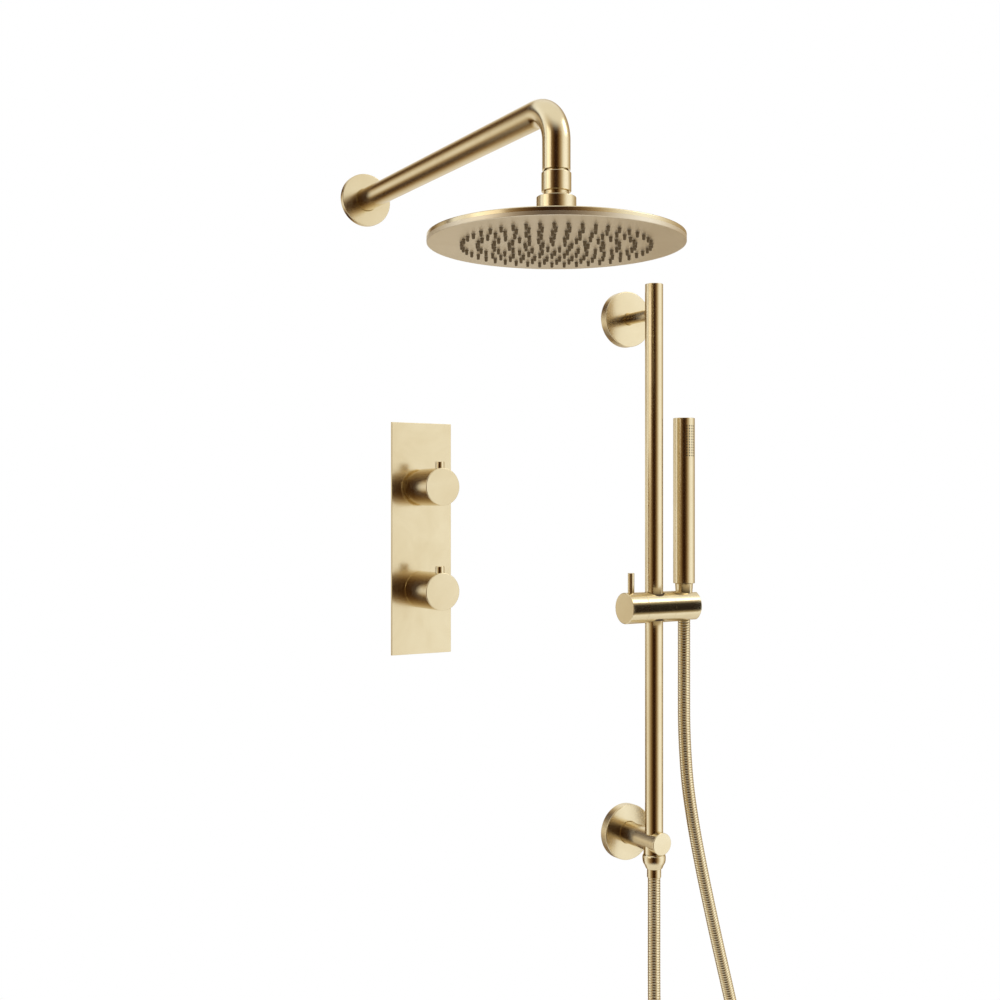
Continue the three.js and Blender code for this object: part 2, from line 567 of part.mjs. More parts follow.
// ---------------------------------------------------------------- slider
function makeSlider() {
  const bodyR = slider.size / 2;
  const bushIn = rail.tube / 2 + slider.play;
  const bushOut = bushIn + slider.bush;
  const spindleR = slider.spindle / 2;
  const screwR = slider.screw / 2;
  const bar = (from, to, edgeLeft, edgeRight) => sideways(turned([
    [0, from], [bodyR - edgeLeft, from], [bodyR, from + edgeLeft], [bodyR, to - edgeRight],
    [bodyR - edgeRight, to], [0, to],
  ], 24));

  const seam = 0.15;
  const railBore = rod(bushOut + gap, -bodyR - 2, bodyR + 2);
  const socket = sideways(rod(spindleR + gap, slider.half - slider.spindleLength - gap, slider.half + 2));
  const screwBore = sideways(rod(screwR + gap, -slider.half - 2, -bushIn));
  const body = cut(bar(-slider.half, slider.half, seam, seam), railBore, socket, screwBore);
  const bushHole = sideways(rod(screwR + gap, -bushOut - 2, -bushIn + 2));
  const bush = cut(pipe(bushOut, bushIn, -bodyR + 2.5, bodyR - 2.5), bushHole);

  const knobLeft = slider.left - rail.x;
  const knobRight = -slider.half - gap;
  const pinR = slider.pin / 2;
  const pinX = slider.pinX - rail.x;
  const pinFoot = 9;
  const pinTop = slider.pinTop - slider.z;
  const pinHole = moved(rod(pinR + gap, pinFoot - gap, bodyR + 2, 12), pinX, 0, 0);
  const screwEnd = pinX + pinR + gap + 1;
  const screwSocket = sideways(rod(screwR + gap, screwEnd - gap, knobRight + 2));
  const knob = cut(bar(knobLeft, knobRight, 0.7, seam), pinHole, screwSocket);
  const pin = moved(turned([
    [0, pinFoot], [pinR, pinFoot], [pinR, pinTop - 0.6], [pinR - 0.6, pinTop], [0, pinTop],
  ], 12), pinX, 0, 0);
  const screw = sideways(rod(screwR, screwEnd, -bushIn));

  const holderLeft = slider.half + gap;
  const holderRight = slider.right - rail.x;
  const seatX = handset.x - rail.x;
  const nutAt = (z) => {
    const share = (handset.bottom - gap - z) / (handset.bottom - gap - upperNut.end);
    return (upperNut.top + (upperNut.foot - upperNut.top) * share) / 2;
  };
  const taperR = (z) => nutAt(z + slider.z) + 0.45;
  const taper = moved(turned([
    [0, -bodyR - 2], [taperR(-bodyR - 2), -bodyR - 2], [taperR(bodyR + 2), bodyR + 2], [0, bodyR + 2],
  ], 16), seatX, 0, 0);
  const slotWidth = hose.size + 1.2;
  const slot = moved(new THREE.BoxGeometry(40, slotWidth, slider.size + 6), seatX + 20, 0, 0);
  const spindle = sideways(rod(spindleR, slider.half - slider.spindleLength, holderLeft + 4));
  const holder = cut(join(bar(holderLeft, holderRight, seam, 0.7), spindle), taper, slot);

  return assembly([rail.x, -rail.out, slider.z],
    piece('slider_body', brushedBrass, body),
    piece('slider_bush', darkPlastic, bush),
    piece('clamp_knob', brushedBrass, knob),
    piece('clamp_pin', brushedBrass, pin),
    piece('clamp_screw', steel, screw),
    piece('handset_holder', brushedBrass, holder));
}

// ---------------------------------------------------------------- handset
function makeHandset() {
  const bodyR = handset.size / 2;
  const boreR = bodyR - handset.wall;
  const { top, bottom, cap } = handset;
  const holeR = handset.hole / 2;
  const blank = turned(loop([
    [6.5, bottom], [bodyR - 0.5, bottom], [bodyR, bottom + 0.5], [bodyR, top - 0.5],
    [bodyR - 0.5, top], [boreR, top], [boreR, bottom + 12], [6.5, bottom + 12],
  ]));
  const holes = sprayColumns.flatMap((turn) => Array.from({ length: handset.rows }, (_, row) => {
    const z = handset.firstRow + row * handset.rowStep;
    const drill = outwards(rod(holeR, boreR - 1.2, bodyR + 1, 3));
    return moved(drill.rotateZ(THREE.MathUtils.degToRad(turn)), 0, 0, z);
  }));
  const body = cut(blank, ...holes);
  const endCap = rod(boreR - gap, top - cap, top - 0.1);
  const linerR = boreR - gap;
  const liner = pipe(linerR, linerR - handset.liner, bottom + 20, top - cap - gap);
  const nutStart = bottom - gap;
  const nut = turned(loop([
    [hose.bore / 2, upperNut.end], [upperNut.foot / 2, upperNut.end],
    [upperNut.top / 2, nutStart], [hose.bore / 2, nutStart],
  ]));
  return assembly([handset.x, -rail.out, 0],
    piece('handset_body', brushedBrass, body),
    piece('handset_end_cap', brushedBrass, endCap),
    piece('handset_liner', plastic, liner),
    piece('upper_hose_nut', brushedBrass, nut));
}

// ---------------------------------------------------------------- hose
const outletUnder = rail.outletZ - outlet.size / 2;

function makeLowerNut() {
  const spoutR = outlet.spout / 2 + gap;
  const [size, foot] = [lowerNut.size / 2, lowerNut.foot / 2];
  const top = outletUnder - 0.9 - gap;
  const end = top - lowerNut.length;
  const nut = turned(loop([
    [spoutR, top], [spoutR, top - 8.6], [hose.bore / 2, top - 8.6], [hose.bore / 2, end],
    [foot - 0.6, end], [foot, end + 1], [size - 0.8, end + 6.4], [size, end + 9.6],
    [size - 0.2, end + 13.2], [size - 1.6, top],
  ]));
  const ferruleR = lowerNut.ferrule / 2;
  const ferruleTop = end - gap;
  const ferruleEnd = ferruleTop - lowerNut.ferruleLength;
  const ferrule = turned(loop([
    [hose.bore / 2, ferruleEnd], [ferruleR - 0.3, ferruleEnd], [ferruleR, ferruleEnd + 0.5],
    [ferruleR, ferruleTop], [hose.bore / 2, ferruleTop],
  ]));
  return assembly([rail.x, -rail.out, 0],
    piece('lower_hose_nut', brushedBrass, nut),
    piece('lower_hose_ferrule', brushedBrass, ferrule));
}

function makeHose() {
  const points = hoseRoute.map(([x, out, z]) => new THREE.Vector3(x, -out, z));
  const route = new THREE.CatmullRomCurve3(points);
  const perSpan = 40;
  const lengths = route.getLengths((points.length - 1) * perSpan);
  const total = lengths.at(-1);
  route.arcLengthDivisions = lengths.length - 1;
  return Object.entries(hoseRuns).map(([name, [first, last]]) => {
    const from = (lengths[first * perSpan] + gap / 2) / total;
    const to = (lengths[last * perSpan] - gap / 2) / total;
    const steps = Math.max(2, Math.round(((to - from) * total) / hose.step));
    class Run extends THREE.Curve {
      getPoint(t) { return route.getPointAt(from + (to - from) * t); }
      getTangent(t) { return route.getTangentAt(from + (to - from) * t); }
      getPointAt(t) { return this.getPoint(t); }
      getTangentAt(t) { return this.getTangent(t); }
    }
    return piece(name, brushedBrass, swept(new Run(), hose.size / 2, 0, steps, hose.sides));
  });
}

const group = new THREE.Group();
group.name = 'shower_set';
group.add(
  makeArm(), makeSwivel(), makeHead(),
  makeValve(),
  makeRail(), makeSlider(), makeHandset(), makeLowerNut(),
  ...makeHose(),
);

export default group;
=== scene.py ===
# %% [markdown]
# # A wall-mounted shower set in satin brass
# The set is an overhead rain arm, a valve plate with two knobs, and a slide rail that carries a
# hand shower on a hanging metal hose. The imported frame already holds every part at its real
# place, as plain faceted solids. This lesson gives each visible part its fine surface. Nearly all
# of them are turned on a lathe in real life, so the same is done here: draw half of the outline,
# spin it round its axis, then break its edges with a bevel.

# %% Load the frame
import json
import math

import bmesh
import bpy
from mathutils import Matrix, Vector
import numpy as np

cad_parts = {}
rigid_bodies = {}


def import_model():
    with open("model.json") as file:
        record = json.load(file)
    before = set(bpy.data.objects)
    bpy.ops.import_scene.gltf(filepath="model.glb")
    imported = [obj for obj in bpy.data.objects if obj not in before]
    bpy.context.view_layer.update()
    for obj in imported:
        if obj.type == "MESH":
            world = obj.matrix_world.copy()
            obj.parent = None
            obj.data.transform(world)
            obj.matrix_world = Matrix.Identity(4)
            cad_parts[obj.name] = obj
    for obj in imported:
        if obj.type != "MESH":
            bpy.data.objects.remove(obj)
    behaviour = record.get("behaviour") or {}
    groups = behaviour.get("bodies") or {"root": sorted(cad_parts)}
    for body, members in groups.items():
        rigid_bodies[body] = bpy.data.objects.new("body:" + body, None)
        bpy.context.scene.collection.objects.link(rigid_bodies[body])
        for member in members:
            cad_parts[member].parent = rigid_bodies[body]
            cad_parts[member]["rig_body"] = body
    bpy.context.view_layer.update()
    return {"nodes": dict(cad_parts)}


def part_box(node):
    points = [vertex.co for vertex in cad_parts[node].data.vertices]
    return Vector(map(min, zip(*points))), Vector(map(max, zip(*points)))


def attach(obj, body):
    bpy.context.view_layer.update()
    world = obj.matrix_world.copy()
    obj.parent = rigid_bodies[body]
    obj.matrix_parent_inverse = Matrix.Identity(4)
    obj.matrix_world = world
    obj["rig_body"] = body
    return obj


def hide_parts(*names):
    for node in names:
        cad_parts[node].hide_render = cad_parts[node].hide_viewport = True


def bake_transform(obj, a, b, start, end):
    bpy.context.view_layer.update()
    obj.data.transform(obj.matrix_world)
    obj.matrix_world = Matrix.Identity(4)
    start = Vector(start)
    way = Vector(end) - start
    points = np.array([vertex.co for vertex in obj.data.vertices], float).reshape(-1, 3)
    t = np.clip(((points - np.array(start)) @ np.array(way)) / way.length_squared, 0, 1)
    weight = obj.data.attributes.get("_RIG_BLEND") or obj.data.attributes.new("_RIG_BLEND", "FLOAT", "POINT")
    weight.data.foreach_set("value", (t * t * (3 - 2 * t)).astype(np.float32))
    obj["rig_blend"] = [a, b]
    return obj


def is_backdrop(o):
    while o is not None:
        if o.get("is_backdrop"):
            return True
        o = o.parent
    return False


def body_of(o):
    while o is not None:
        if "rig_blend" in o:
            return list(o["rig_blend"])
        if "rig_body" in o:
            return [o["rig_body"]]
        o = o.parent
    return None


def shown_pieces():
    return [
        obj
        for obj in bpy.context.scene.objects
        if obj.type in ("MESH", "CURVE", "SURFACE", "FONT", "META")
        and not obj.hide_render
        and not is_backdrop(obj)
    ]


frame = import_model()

MM = 0.001                 # outlines below are drawn in millimetres, and become metres at the end
X_AXIS, Y_AXIS, Z_AXIS = Vector((1, 0, 0)), Vector((0, 1, 0)), Vector((0, 0, 1))

# %% [markdown]
# ## Camera
# The set is seen from the left and level with the valve. A long lens would flatten it, and a
# short one would bend it. This one has a picture angle of about 43 degrees. The small shifts
# slide the picture sideways and upwards without turning the camera, so uprights stay upright.

# %% Camera
camera_data = bpy.data.cameras.new("camera")
camera_data.lens = 45.95
camera_data.sensor_width = 36
camera_data.shift_x, camera_data.shift_y = -0.0252, 0.0109
camera_data.clip_start = 0.05
camera = bpy.data.objects.new("camera", camera_data)
camera.location = (-0.5986, -1.1861, 0.0285)
camera.rotation_euler = (math.radians(90), 0, math.radians(-31.46))
bpy.context.scene.collection.objects.link(camera)
bpy.context.scene.camera = camera
print("camera looks along", [round(v, 2) for v in camera.rotation_euler.to_matrix() @ -Z_AXIS])

# %% [markdown]
# ## The hose
# A metal shower hose is a strip wound so that each turn locks into the next, which gives fine
# ribs. A curve with a bevel would give a smooth tube and a repeated ring would need hundreds of
# objects. Here a straight tube is spun with all its ribs in the outline, and its points are then
# carried over to the route. Every rib stays square to the line, and each run ends in a valley
# between two ribs, so the joins between the runs can't be seen.

# %% The route of the hose
HOSE_SIZE = 14.0
RIB_PITCH = 2.9
HOSE_OUT = 58              # how far out of the wall the hose hangs, all along
HOSE_ROUTE = [             # x and z of the hose's own line, from the outlet round to the handset
    (258.4, -375.8), (258.4, -425), (258.4, -485), (259.2, -545), (262.2, -603), (268.6, -658),
    (279.5, -708), (296, -749), (318, -775), (344, -783), (368, -773), (385.5, -745),
    (394.5, -705), (395.5, -660), (388.5, -612), (375.5, -562), (361.8, -512), (348.4, -464),
    (335.6, -416), (323.5, -368), (312.8, -320), (305.3, -276), (301.7, -235), (300.5, -208),
    (300.3, -181), (300.3, -155), (300.3, -134), (300.3, -113), (300.3, -93.3),
]
HOSE_RUNS = {              # the first and the last point of each run
    "falling": (0, 9), "rising": (9, 21), "swing": (21, 24), "top": (24, 28),
}
route_points = [Vector((x, -HOSE_OUT, z)) for x, z in HOSE_ROUTE]


def smooth_span(before, start, end, after, share):
    """A point between start and end on a smooth curve through all four points."""
    gaps = [(b - a).length ** 0.5 for a, b in ((before, start), (start, end), (end, after))]
    first, middle, last = gaps
    leave = (start - before) / first - (end - before) / (first + middle) + (end - start) / middle
    reach = (end - start) / middle - (after - start) / (middle + last) + (after - end) / last
    leave, reach = leave * middle, reach * middle
    square, cube = share * share, share ** 3
    return (start * (2 * cube - 3 * square + 1) + end * (3 * square - 2 * cube)
            + leave * (cube - 2 * square + share) + reach * (cube - square))


def fine_route(first, last, steps=24):
    """Closely spaced points along the hose from one route point to another."""
    ends = [2 * route_points[0] - route_points[1], 2 * route_points[-1] - route_points[-2]]
    padded = [ends[0]] + route_points + [ends[1]]
    line = [smooth_span(*padded[i:i + 4], step / steps)
            for i in range(first, last) for step in range(steps)]
    return line + [route_points[last].copy()]


def walked(line):
    """The distance walked from the start of the line to each of its points."""
    distances = [0.0]
    for a, b in zip(line, line[1:]):
        distances.append(distances[-1] + (b - a).length)
    return distances


# %% Tools for turned work
def spun(outline, steps=96, closed=False):
    """Half an outline, as (radius, height) pairs, turned once round the Z axis."""
    bm = bmesh.new()
    verts = [bm.verts.new((radius, 0, height)) for radius, height in outline]
    pairs = zip(verts, verts[1:] + verts[:1] if closed else verts[1:])
    edges = [bm.edges.new(pair) for pair in pairs]
    bmesh.ops.spin(bm, geom=verts + edges, cent=(0, 0, 0), axis=Z_AXIS, angle=2 * math.pi,
                   steps=steps, use_merge=True)
    bmesh.ops.remove_doubles(bm, verts=bm.verts, dist=1e-4)
    bmesh.ops.recalc_face_normals(bm, faces=bm.faces)
    return bm


def rod(radius, low, high, steps=96):
    """A solid round bar between two heights."""
    return spun([(0, low), (radius, low), (radius, high), (0, high)], steps)


def sleeve(inner, outer, low, high):
    """A round tube between two heights."""
    return spun([(inner, low), (outer, low), (outer, high), (inner, high)], closed=True)


def off_axis(vert):
    """How far a point is from the lathe's axis."""
    return math.hypot(vert.co.x, vert.co.y)


def finished(name, bm, flat_below=32):
    """The work as an object in metres, shaded smooth except across its real edges."""
    bmesh.ops.scale(bm, vec=(MM, MM, MM), verts=bm.verts)
    mesh = bpy.data.meshes.new(name)
    bm.to_mesh(mesh)
    bm.free()
    mesh.shade_smooth()
    mesh.set_sharp_from_angle(angle=math.radians(flat_below))
    piece = bpy.data.objects.new(name, mesh)
    bpy.context.scene.collection.objects.link(piece)
    return piece


# %% Turn a straight ribbed tube and lay it along the route
RIB_DEPTH = 0.9
RIB_SHAPE = (              # share of a rib's length, and how far it has risen there
    (0.0, 0.0), (0.12, 0.80), (0.28, 1.0), (0.72, 1.0), (0.88, 0.80))
VALLEY = HOSE_SIZE / 2 - RIB_DEPTH


def ribbed_run(name, line):
    """A hose run that follows the line, with a whole number of ribs."""
    distances = walked(line)
    length = distances[-1]
    ribs = round(length / RIB_PITCH)
    pitch = length / ribs
    outline = [(0, 0)]
    outline += [(VALLEY + RIB_DEPTH * rise, (rib + share) * pitch) for rib in range(ribs)
                for share, rise in RIB_SHAPE]
    outline += [(VALLEY, length), (0, length)]
    bm = spun(outline, steps=20)
    height_above_valley = bm.verts.layers.float.new("rib")
    at = 1
    for vert in sorted(bm.verts, key=lambda v: v.co.z):
        vert[height_above_valley] = max(0.0, (off_axis(vert) - VALLEY) / RIB_DEPTH)
        while at < len(line) - 1 and distances[at] < vert.co.z:
            at += 1
        along = (line[at] - line[at - 1]).normalized()
        place = line[at - 1] + along * (vert.co.z - distances[at - 1])
        ahead = line[min(at + 1, len(line) - 1)] - line[max(at - 2, 0)]
        ahead.normalize()
        across = Y_AXIS.cross(ahead)
        vert.co = place + across * vert.co.x + Y_AXIS * vert.co.y
    bmesh.ops.recalc_face_normals(bm, faces=bm.faces)
    return finished(name, bm, 75), length


hose_pieces = {}
hose_lines = {}
hose_length = {}
for run, (first, last) in HOSE_RUNS.items():
    hose_lines[run] = fine_route(first, last)
    hose_pieces[run], hose_length[run] = ribbed_run("ribbed_hose_" + run, hose_lines[run])
    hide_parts("hose_" + run + "_run")
    print(run, "run:", round(hose_length[run]), "mm")

# %% [markdown]
# ## How the hose moves
# The falling run hangs still from the outlet. The rising run follows the slider at its top and
# stays put at the bottom of the loop, so it is blended over its whole height. The next run turns
# with the holder, and the last one lifts with the hand shower.

# %% Give each run its bodies
def route_place(index):
    """A point of the route in metres."""
    return tuple(route_points[index] * MM)


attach(hose_pieces["falling"], "root")
for run, lower, upper in (("rising", "root", "slider"), ("swing", "slider", "holder"),
                          ("top", "holder", "handset")):
    first, last = HOSE_RUNS[run]
    bottom, top = route_place(first), route_place(last)
    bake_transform(hose_pieces[run], lower, upper, start=(0, 0, bottom[2]), end=(0, 0, top[2]))

# %% [markdown]
# ## Brass for the lathe
# Satin brass is a metal with fine turning marks that follow the tool round the axis, faint hazy
# patches where hands have been, and almost no texture from a distance. An image could not follow
# every axis. Small node groups do: one makes rings round an axis, one makes straight brushing,
# and one makes haze. Each material then only says where its axis is.

# %% Node tools
def node(tree, kind, inputs=None, **settings):
    """A node with its settings, and each input either linked or given a value."""
    made = tree.nodes.new(kind)
    for key, value in settings.items():
        setattr(made, key, value)
    for key, value in (inputs or {}).items():
        if isinstance(value, bpy.types.NodeSocket):
            tree.links.new(value, made.inputs[key])
        else:
            made.inputs[key].default_value = value
    return made


def maths(tree, operation, *values):
    """A sum on numbers, each of them linked or given."""
    return node(tree, "ShaderNodeMath", dict(enumerate(values)), operation=operation).outputs[0]


def ranged(tree, value, low, high, to_low=0.0, to_high=1.0, **settings):
    """A value carried over from one range to another."""
    made = node(tree, "ShaderNodeMapRange", {
        "Value": value, "From Min": low, "From Max": high, "To Min": to_low, "To Max": to_high},
        **settings)
    return made.outputs["Result"]


def noise(tree, place, scale, detail, inputs=None, **settings):
    """A cloudy number between nought and one."""
    made = node(tree, "ShaderNodeTexNoise", {
        "Vector": place, "Scale": scale, "Detail": detail, **(inputs or {})}, **settings)
    return made.outputs["Fac"]


def colour_mix(tree, factor, first, second):
    """A mix of two colours. Its sockets share their names, so they go by number."""
    return node(tree, "ShaderNodeMix", {0: factor, 6: first, 7: second}, data_type="RGBA").outputs[2]


def dress(tree, shader, drivers):
    """Links inputs of the shader to what drives them."""
    for name, socket in drivers.items():
        tree.links.new(socket, shader.inputs[name])


def new_group(name, label, value, output):
    """A node group that makes one number from a place and another number."""
    tree = bpy.data.node_groups.new(name, "ShaderNodeTree")
    tree.interface.new_socket("Place", in_out="INPUT", socket_type="NodeSocketVector")
    number = tree.interface.new_socket(label, in_out="INPUT", socket_type="NodeSocketFloat")
    number.default_value = value
    tree.interface.new_socket(output, in_out="OUTPUT", socket_type="NodeSocketFloat")
    entry = tree.nodes.new("NodeGroupInput")
    way_out = tree.nodes.new("NodeGroupOutput").inputs[output]
    return tree, entry.outputs["Place"], entry.outputs[label], way_out


# %% Rings left by the lathe
rings, place, density, way_out = new_group("lathe rings", "Rings per metre", 2500.0, "Mark")
parts = node(rings, "ShaderNodeSeparateXYZ", {0: place})
flat = node(rings, "ShaderNodeCombineXYZ", {"X": parts.outputs["X"], "Y": parts.outputs["Y"]})
radius = node(rings, "ShaderNodeVectorMath", {0: flat.outputs[0]}, operation="LENGTH")
line = node(rings, "ShaderNodeCombineXYZ", {"X": radius.outputs["Value"], "Y": parts.outputs["Z"]})
rings.links.new(noise(rings, line.outputs[0], density, 2.0, noise_dimensions="2D"), way_out)

# %% Straight brushing
brushing, place, density, way_out = new_group("straight brushing", "Lines per metre", 3000.0, "Mark")
drawn_out = node(brushing, "ShaderNodeVectorMath", {0: place, 1: (1.0, 1.0, 0.02)},
                 operation="MULTIPLY")
brushing.links.new(noise(brushing, drawn_out.outputs[0], density, 2.0), way_out)

# %% Haze from handling
haze, place, density, way_out = new_group("handling haze", "Patches per metre", 22.0, "Haze")
patches = noise(haze, place, density, 5.0, {"Roughness": 0.62, "Distortion": 0.6})
haze.links.new(ranged(haze, patches, 0.36, 0.68), way_out)
print("effects:", [group.name for group in bpy.data.node_groups])

# %% The satin brass material
TURN_TO = {"Z": (0, 0, 0), "Y": (math.radians(90), 0, 0), "X": (0, math.radians(90), 0)}
BRASS_BRIGHT = (0.80, 0.685, 0.445, 1)
BRASS_DEEP = (0.755, 0.63, 0.39, 1)
RING_DENSITY, RING_RELIEF = 2600.0, 0.25       # marks per metre, and how strongly they stand out
BRUSH_DENSITY, BRUSH_RELIEF = 1500.0, 0.15
HAZE_DULLS, MARK_DULLS = 0.035, 0.05           # how much each adds to the roughness at most


def new_material(name):
    """An empty material: its tree, its shader and where the surface is."""
    material = bpy.data.materials.new(name)
    material.use_nodes = True
    tree = material.node_tree
    shader = next(n for n in tree.nodes if n.type == "BSDF_PRINCIPLED")
    return material, tree, shader, node(tree, "ShaderNodeTexCoord").outputs["Object"]


def haze_at(tree, surface):
    """How hazy each place of a surface is."""
    return node(tree, "ShaderNodeGroup", {"Place": surface}, node_tree=haze).outputs["Haze"]


def metal(name, bright, deep, rough, marks, density, relief, place=None):
    """A worked metal: haze moves its colour and gloss, marks move its gloss and relief."""
    material, tree, shader, surface = new_material(name)
    surface_here = surface
    if place:
        centre, axis = place
        surface_here = node(tree, "ShaderNodeMapping", {
            "Vector": surface, "Location": tuple(centre), "Rotation": TURN_TO[axis]},
            vector_type="TEXTURE").outputs[0]
    mark = node(tree, "ShaderNodeGroup", {0: surface_here, 1: density}, node_tree=marks).outputs[0]
    cloud = haze_at(tree, surface)
    hazed = maths(tree, "MULTIPLY_ADD", cloud, HAZE_DULLS, rough - 0.03)
    bump = node(tree, "ShaderNodeBump", {"Height": mark, "Strength": relief, "Distance": 0.00002})
    dress(tree, shader, {"Base Color": colour_mix(tree, cloud, bright, deep),
                         "Roughness": maths(tree, "MULTIPLY_ADD", mark, MARK_DULLS, hazed),
                         "Normal": bump.outputs["Normal"]})
    shader.inputs["Metallic"].default_value = 1.0
    return material


def turned_brass(name, centre, axis):
    """Satin brass with its turning marks round an axis through centre, in metres."""
    return metal("satin brass " + name, BRASS_BRIGHT, BRASS_DEEP, 0.21, rings, RING_DENSITY,
                 RING_RELIEF, (centre, axis))


def brushed_brass(name, rough, axis):
    """Satin brass with straight brushing along an axis."""
    return metal("satin brass " + name, BRASS_BRIGHT, BRASS_DEEP, rough, brushing, BRUSH_DENSITY,
                 BRUSH_RELIEF, ((0, 0, 0), axis))


# %% [markdown]
# ## Where everything is
# Each part's box in the frame gives the middle and the size that its outline needs. So nothing
# below repeats a position that the frame already holds.

# %% Middles and sizes from the frame
def middle(node_name):
    """The middle of a part's box, in millimetres."""
    low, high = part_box(node_name)
    return (Vector(low) + Vector(high)) / 2 / MM


def extent(node_name):
    """The size of a part's box, in millimetres."""
    low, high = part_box(node_name)
    return (Vector(high) - Vector(low)) / MM


def highest(node_name):
    """The top of a part, in millimetres."""
    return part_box(node_name)[1][2] / MM


def lowest(node_name):
    """The underside of a part, in millimetres."""
    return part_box(node_name)[0][2] / MM


arm_centre = middle("arm_wall_flange")
head_centre = middle("head_face_plate")
head_underside = lowest("head_face_plate")
rail_centre = middle("rail_tube")
rail_out = -rail_centre.y
print("arm at x", round(arm_centre.x, 1), " head at out", round(-head_centre.y, 1),
      " rail at x", round(rail_centre.x, 1), "out", round(rail_out, 1))

# %% Ways to lay and soften a turned piece
OUTWARDS = Matrix.Rotation(math.radians(90), 3, "X")     # its height points out of the wall
SIDEWAYS = Matrix.Rotation(math.radians(90), 3, "Y")     # its height points to the right


def soften(bm, size, sharper_than=25, segments=3, ends=None):
    """Breaks every edge sharper than an angle, or only those whose two ends pass a test."""
    edges = [edge for edge in bm.edges if len(edge.link_faces) == 2
             and edge.calc_face_angle() > math.radians(sharper_than)
             and (ends is None or all(ends(vert) for vert in edge.verts))]
    bmesh.ops.bevel(bm, geom=edges, offset=size, segments=segments, profile=0.5, affect="EDGES",
                    material=-1, clamp_overlap=True)
    return bm


def lay(bm, at, turn=None):
    """Turns a piece from the lathe's Z axis to its own and carries it to its place."""
    if turn is not None:
        bmesh.ops.rotate(bm, cent=(0, 0, 0), matrix=turn, verts=bm.verts)
    bmesh.ops.translate(bm, vec=Vector(at), verts=bm.verts)
    return bm


def stand_for(node_name, bm, material, flat_below=32):
    """Finishes a piece, puts it on its part's body and shows it instead of that part."""
    piece = finished("fine_" + node_name, bm, flat_below)
    even = piece.modifiers.new("flat faces stay flat", "WEIGHTED_NORMAL")
    even.keep_sharp = True
    piece.data.materials.append(material)
    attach(piece, body_of(frame["nodes"][node_name])[0])
    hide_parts(node_name)
    return piece


# %% [markdown]
# ## Overhead arm
# The arm is one pipe: straight out of the wall, a quarter bend, and straight down to the ball
# joint. A curve object could do it, but a pipe is just as easily drawn as the bender makes it:
# pull a ring out of the wall, spin it a quarter turn, and pull it down.

# %% Arm pipe
PIPE_BEND = 28
pipe_radius = extent("arm_tube").x / 2
pipe_reach = -middle("swivel_collar").y
pipe_end = highest("swivel_collar") - 6
bend_start = pipe_reach - PIPE_BEND
bm = bmesh.new()
ring = bmesh.ops.create_circle(bm, cap_ends=False, radius=pipe_radius, segments=64)["verts"]
bmesh.ops.rotate(bm, cent=(0, 0, 0), matrix=OUTWARDS, verts=ring)
bmesh.ops.translate(bm, vec=(arm_centre.x, 5.5, arm_centre.z), verts=ring)


def pulled(bm, edges, along):
    """Draws a ring of edges out into a straight wall and returns the new ring."""
    made = bmesh.ops.extrude_edge_only(bm, edges=edges)["geom"]
    new_verts = [part for part in made if isinstance(part, bmesh.types.BMVert)]
    bmesh.ops.translate(bm, vec=Vector(along), verts=new_verts)
    return [part for part in made if isinstance(part, bmesh.types.BMEdge)
            and all(vert in new_verts for vert in part.verts)]


ring_edges = pulled(bm, list(bm.edges), (0, -bend_start - 5.5, 0))
ring_verts = list({vert for edge in ring_edges for vert in edge.verts})
bend = bmesh.ops.spin(bm, geom=ring_edges + ring_verts, angle=math.pi / 2, steps=24, axis=X_AXIS,
                      cent=(arm_centre.x, -bend_start, arm_centre.z - PIPE_BEND))
ring_edges = [part for part in bend["geom_last"] if isinstance(part, bmesh.types.BMEdge)]
pulled(bm, ring_edges, (0, 0, pipe_end - (arm_centre.z - PIPE_BEND)))
bmesh.ops.recalc_face_normals(bm, faces=bm.faces)
bmesh.ops.solidify(bm, geom=list(bm.faces), thickness=1.5)
stand_for("arm_tube", bm, brushed_brass("arm", 0.19, "Y"))
print("arm reaches", round(pipe_reach), "mm out of the wall")

# %% Arm flange
flange_radius = extent("arm_wall_flange").x / 2
flange_depth = extent("arm_wall_flange").y
bm = spun([(pipe_radius + 0.05, 2.9), (pipe_radius + 2.9, 2.9), (pipe_radius + 2.9, 0.05),
           (flange_radius, 0.05), (flange_radius, flange_depth),
           (pipe_radius + 0.05, flange_depth)], steps=128, closed=True)
soften(bm, 0.7)
lay(bm, (arm_centre.x, 0, arm_centre.z), OUTWARDS)
arm_axis = Vector((arm_centre.x, 0, arm_centre.z)) * MM
stand_for("arm_wall_flange", bm, turned_brass("arm flange", arm_axis, "Y"))

# %% [markdown]
# ## Ball joint
# A ball hangs from the arm inside a screwed cap, so the head tilts a little each way. Only the
# cap, the grooved neck and a sliver of the ball show. The ball's arc comes from its radius, and
# the grooves are steps in the outline.

# %% Collar, ball and cap
swing_z = highest("swivel_cap") - 6.5              # the ball's own middle
column = Vector((arm_centre.x, -pipe_reach, 0))
ball_place = column + swing_z * Z_AXIS
face_place = column + head_underside * Z_AXIS
head_axis = column * MM
head_brass = turned_brass("head", head_axis, "Z")
BALL, NECK = 12.4, 9.8
collar_radius = extent("swivel_collar").x / 2
collar_foot = lowest("swivel_collar")
collar_top = highest("swivel_collar") - 8
bm = spun([(6.5, collar_foot), (collar_radius, collar_foot), (collar_radius, collar_top),
           (8.8, collar_top), (8.8, collar_top + 8), (6.5, collar_top + 8)], closed=True)
stand_for("swivel_collar", lay(soften(bm, 0.6), column), head_brass)


def arc(radius, first, last, steps):
    """(radius, height) points on a circle about the axis' own origin, between two heights."""
    start, end = math.asin(first / radius), math.asin(last / radius)
    angles = [start + (end - start) * step / steps for step in range(steps + 1)]
    return [(radius * math.cos(angle), radius * math.sin(angle)) for angle in angles]


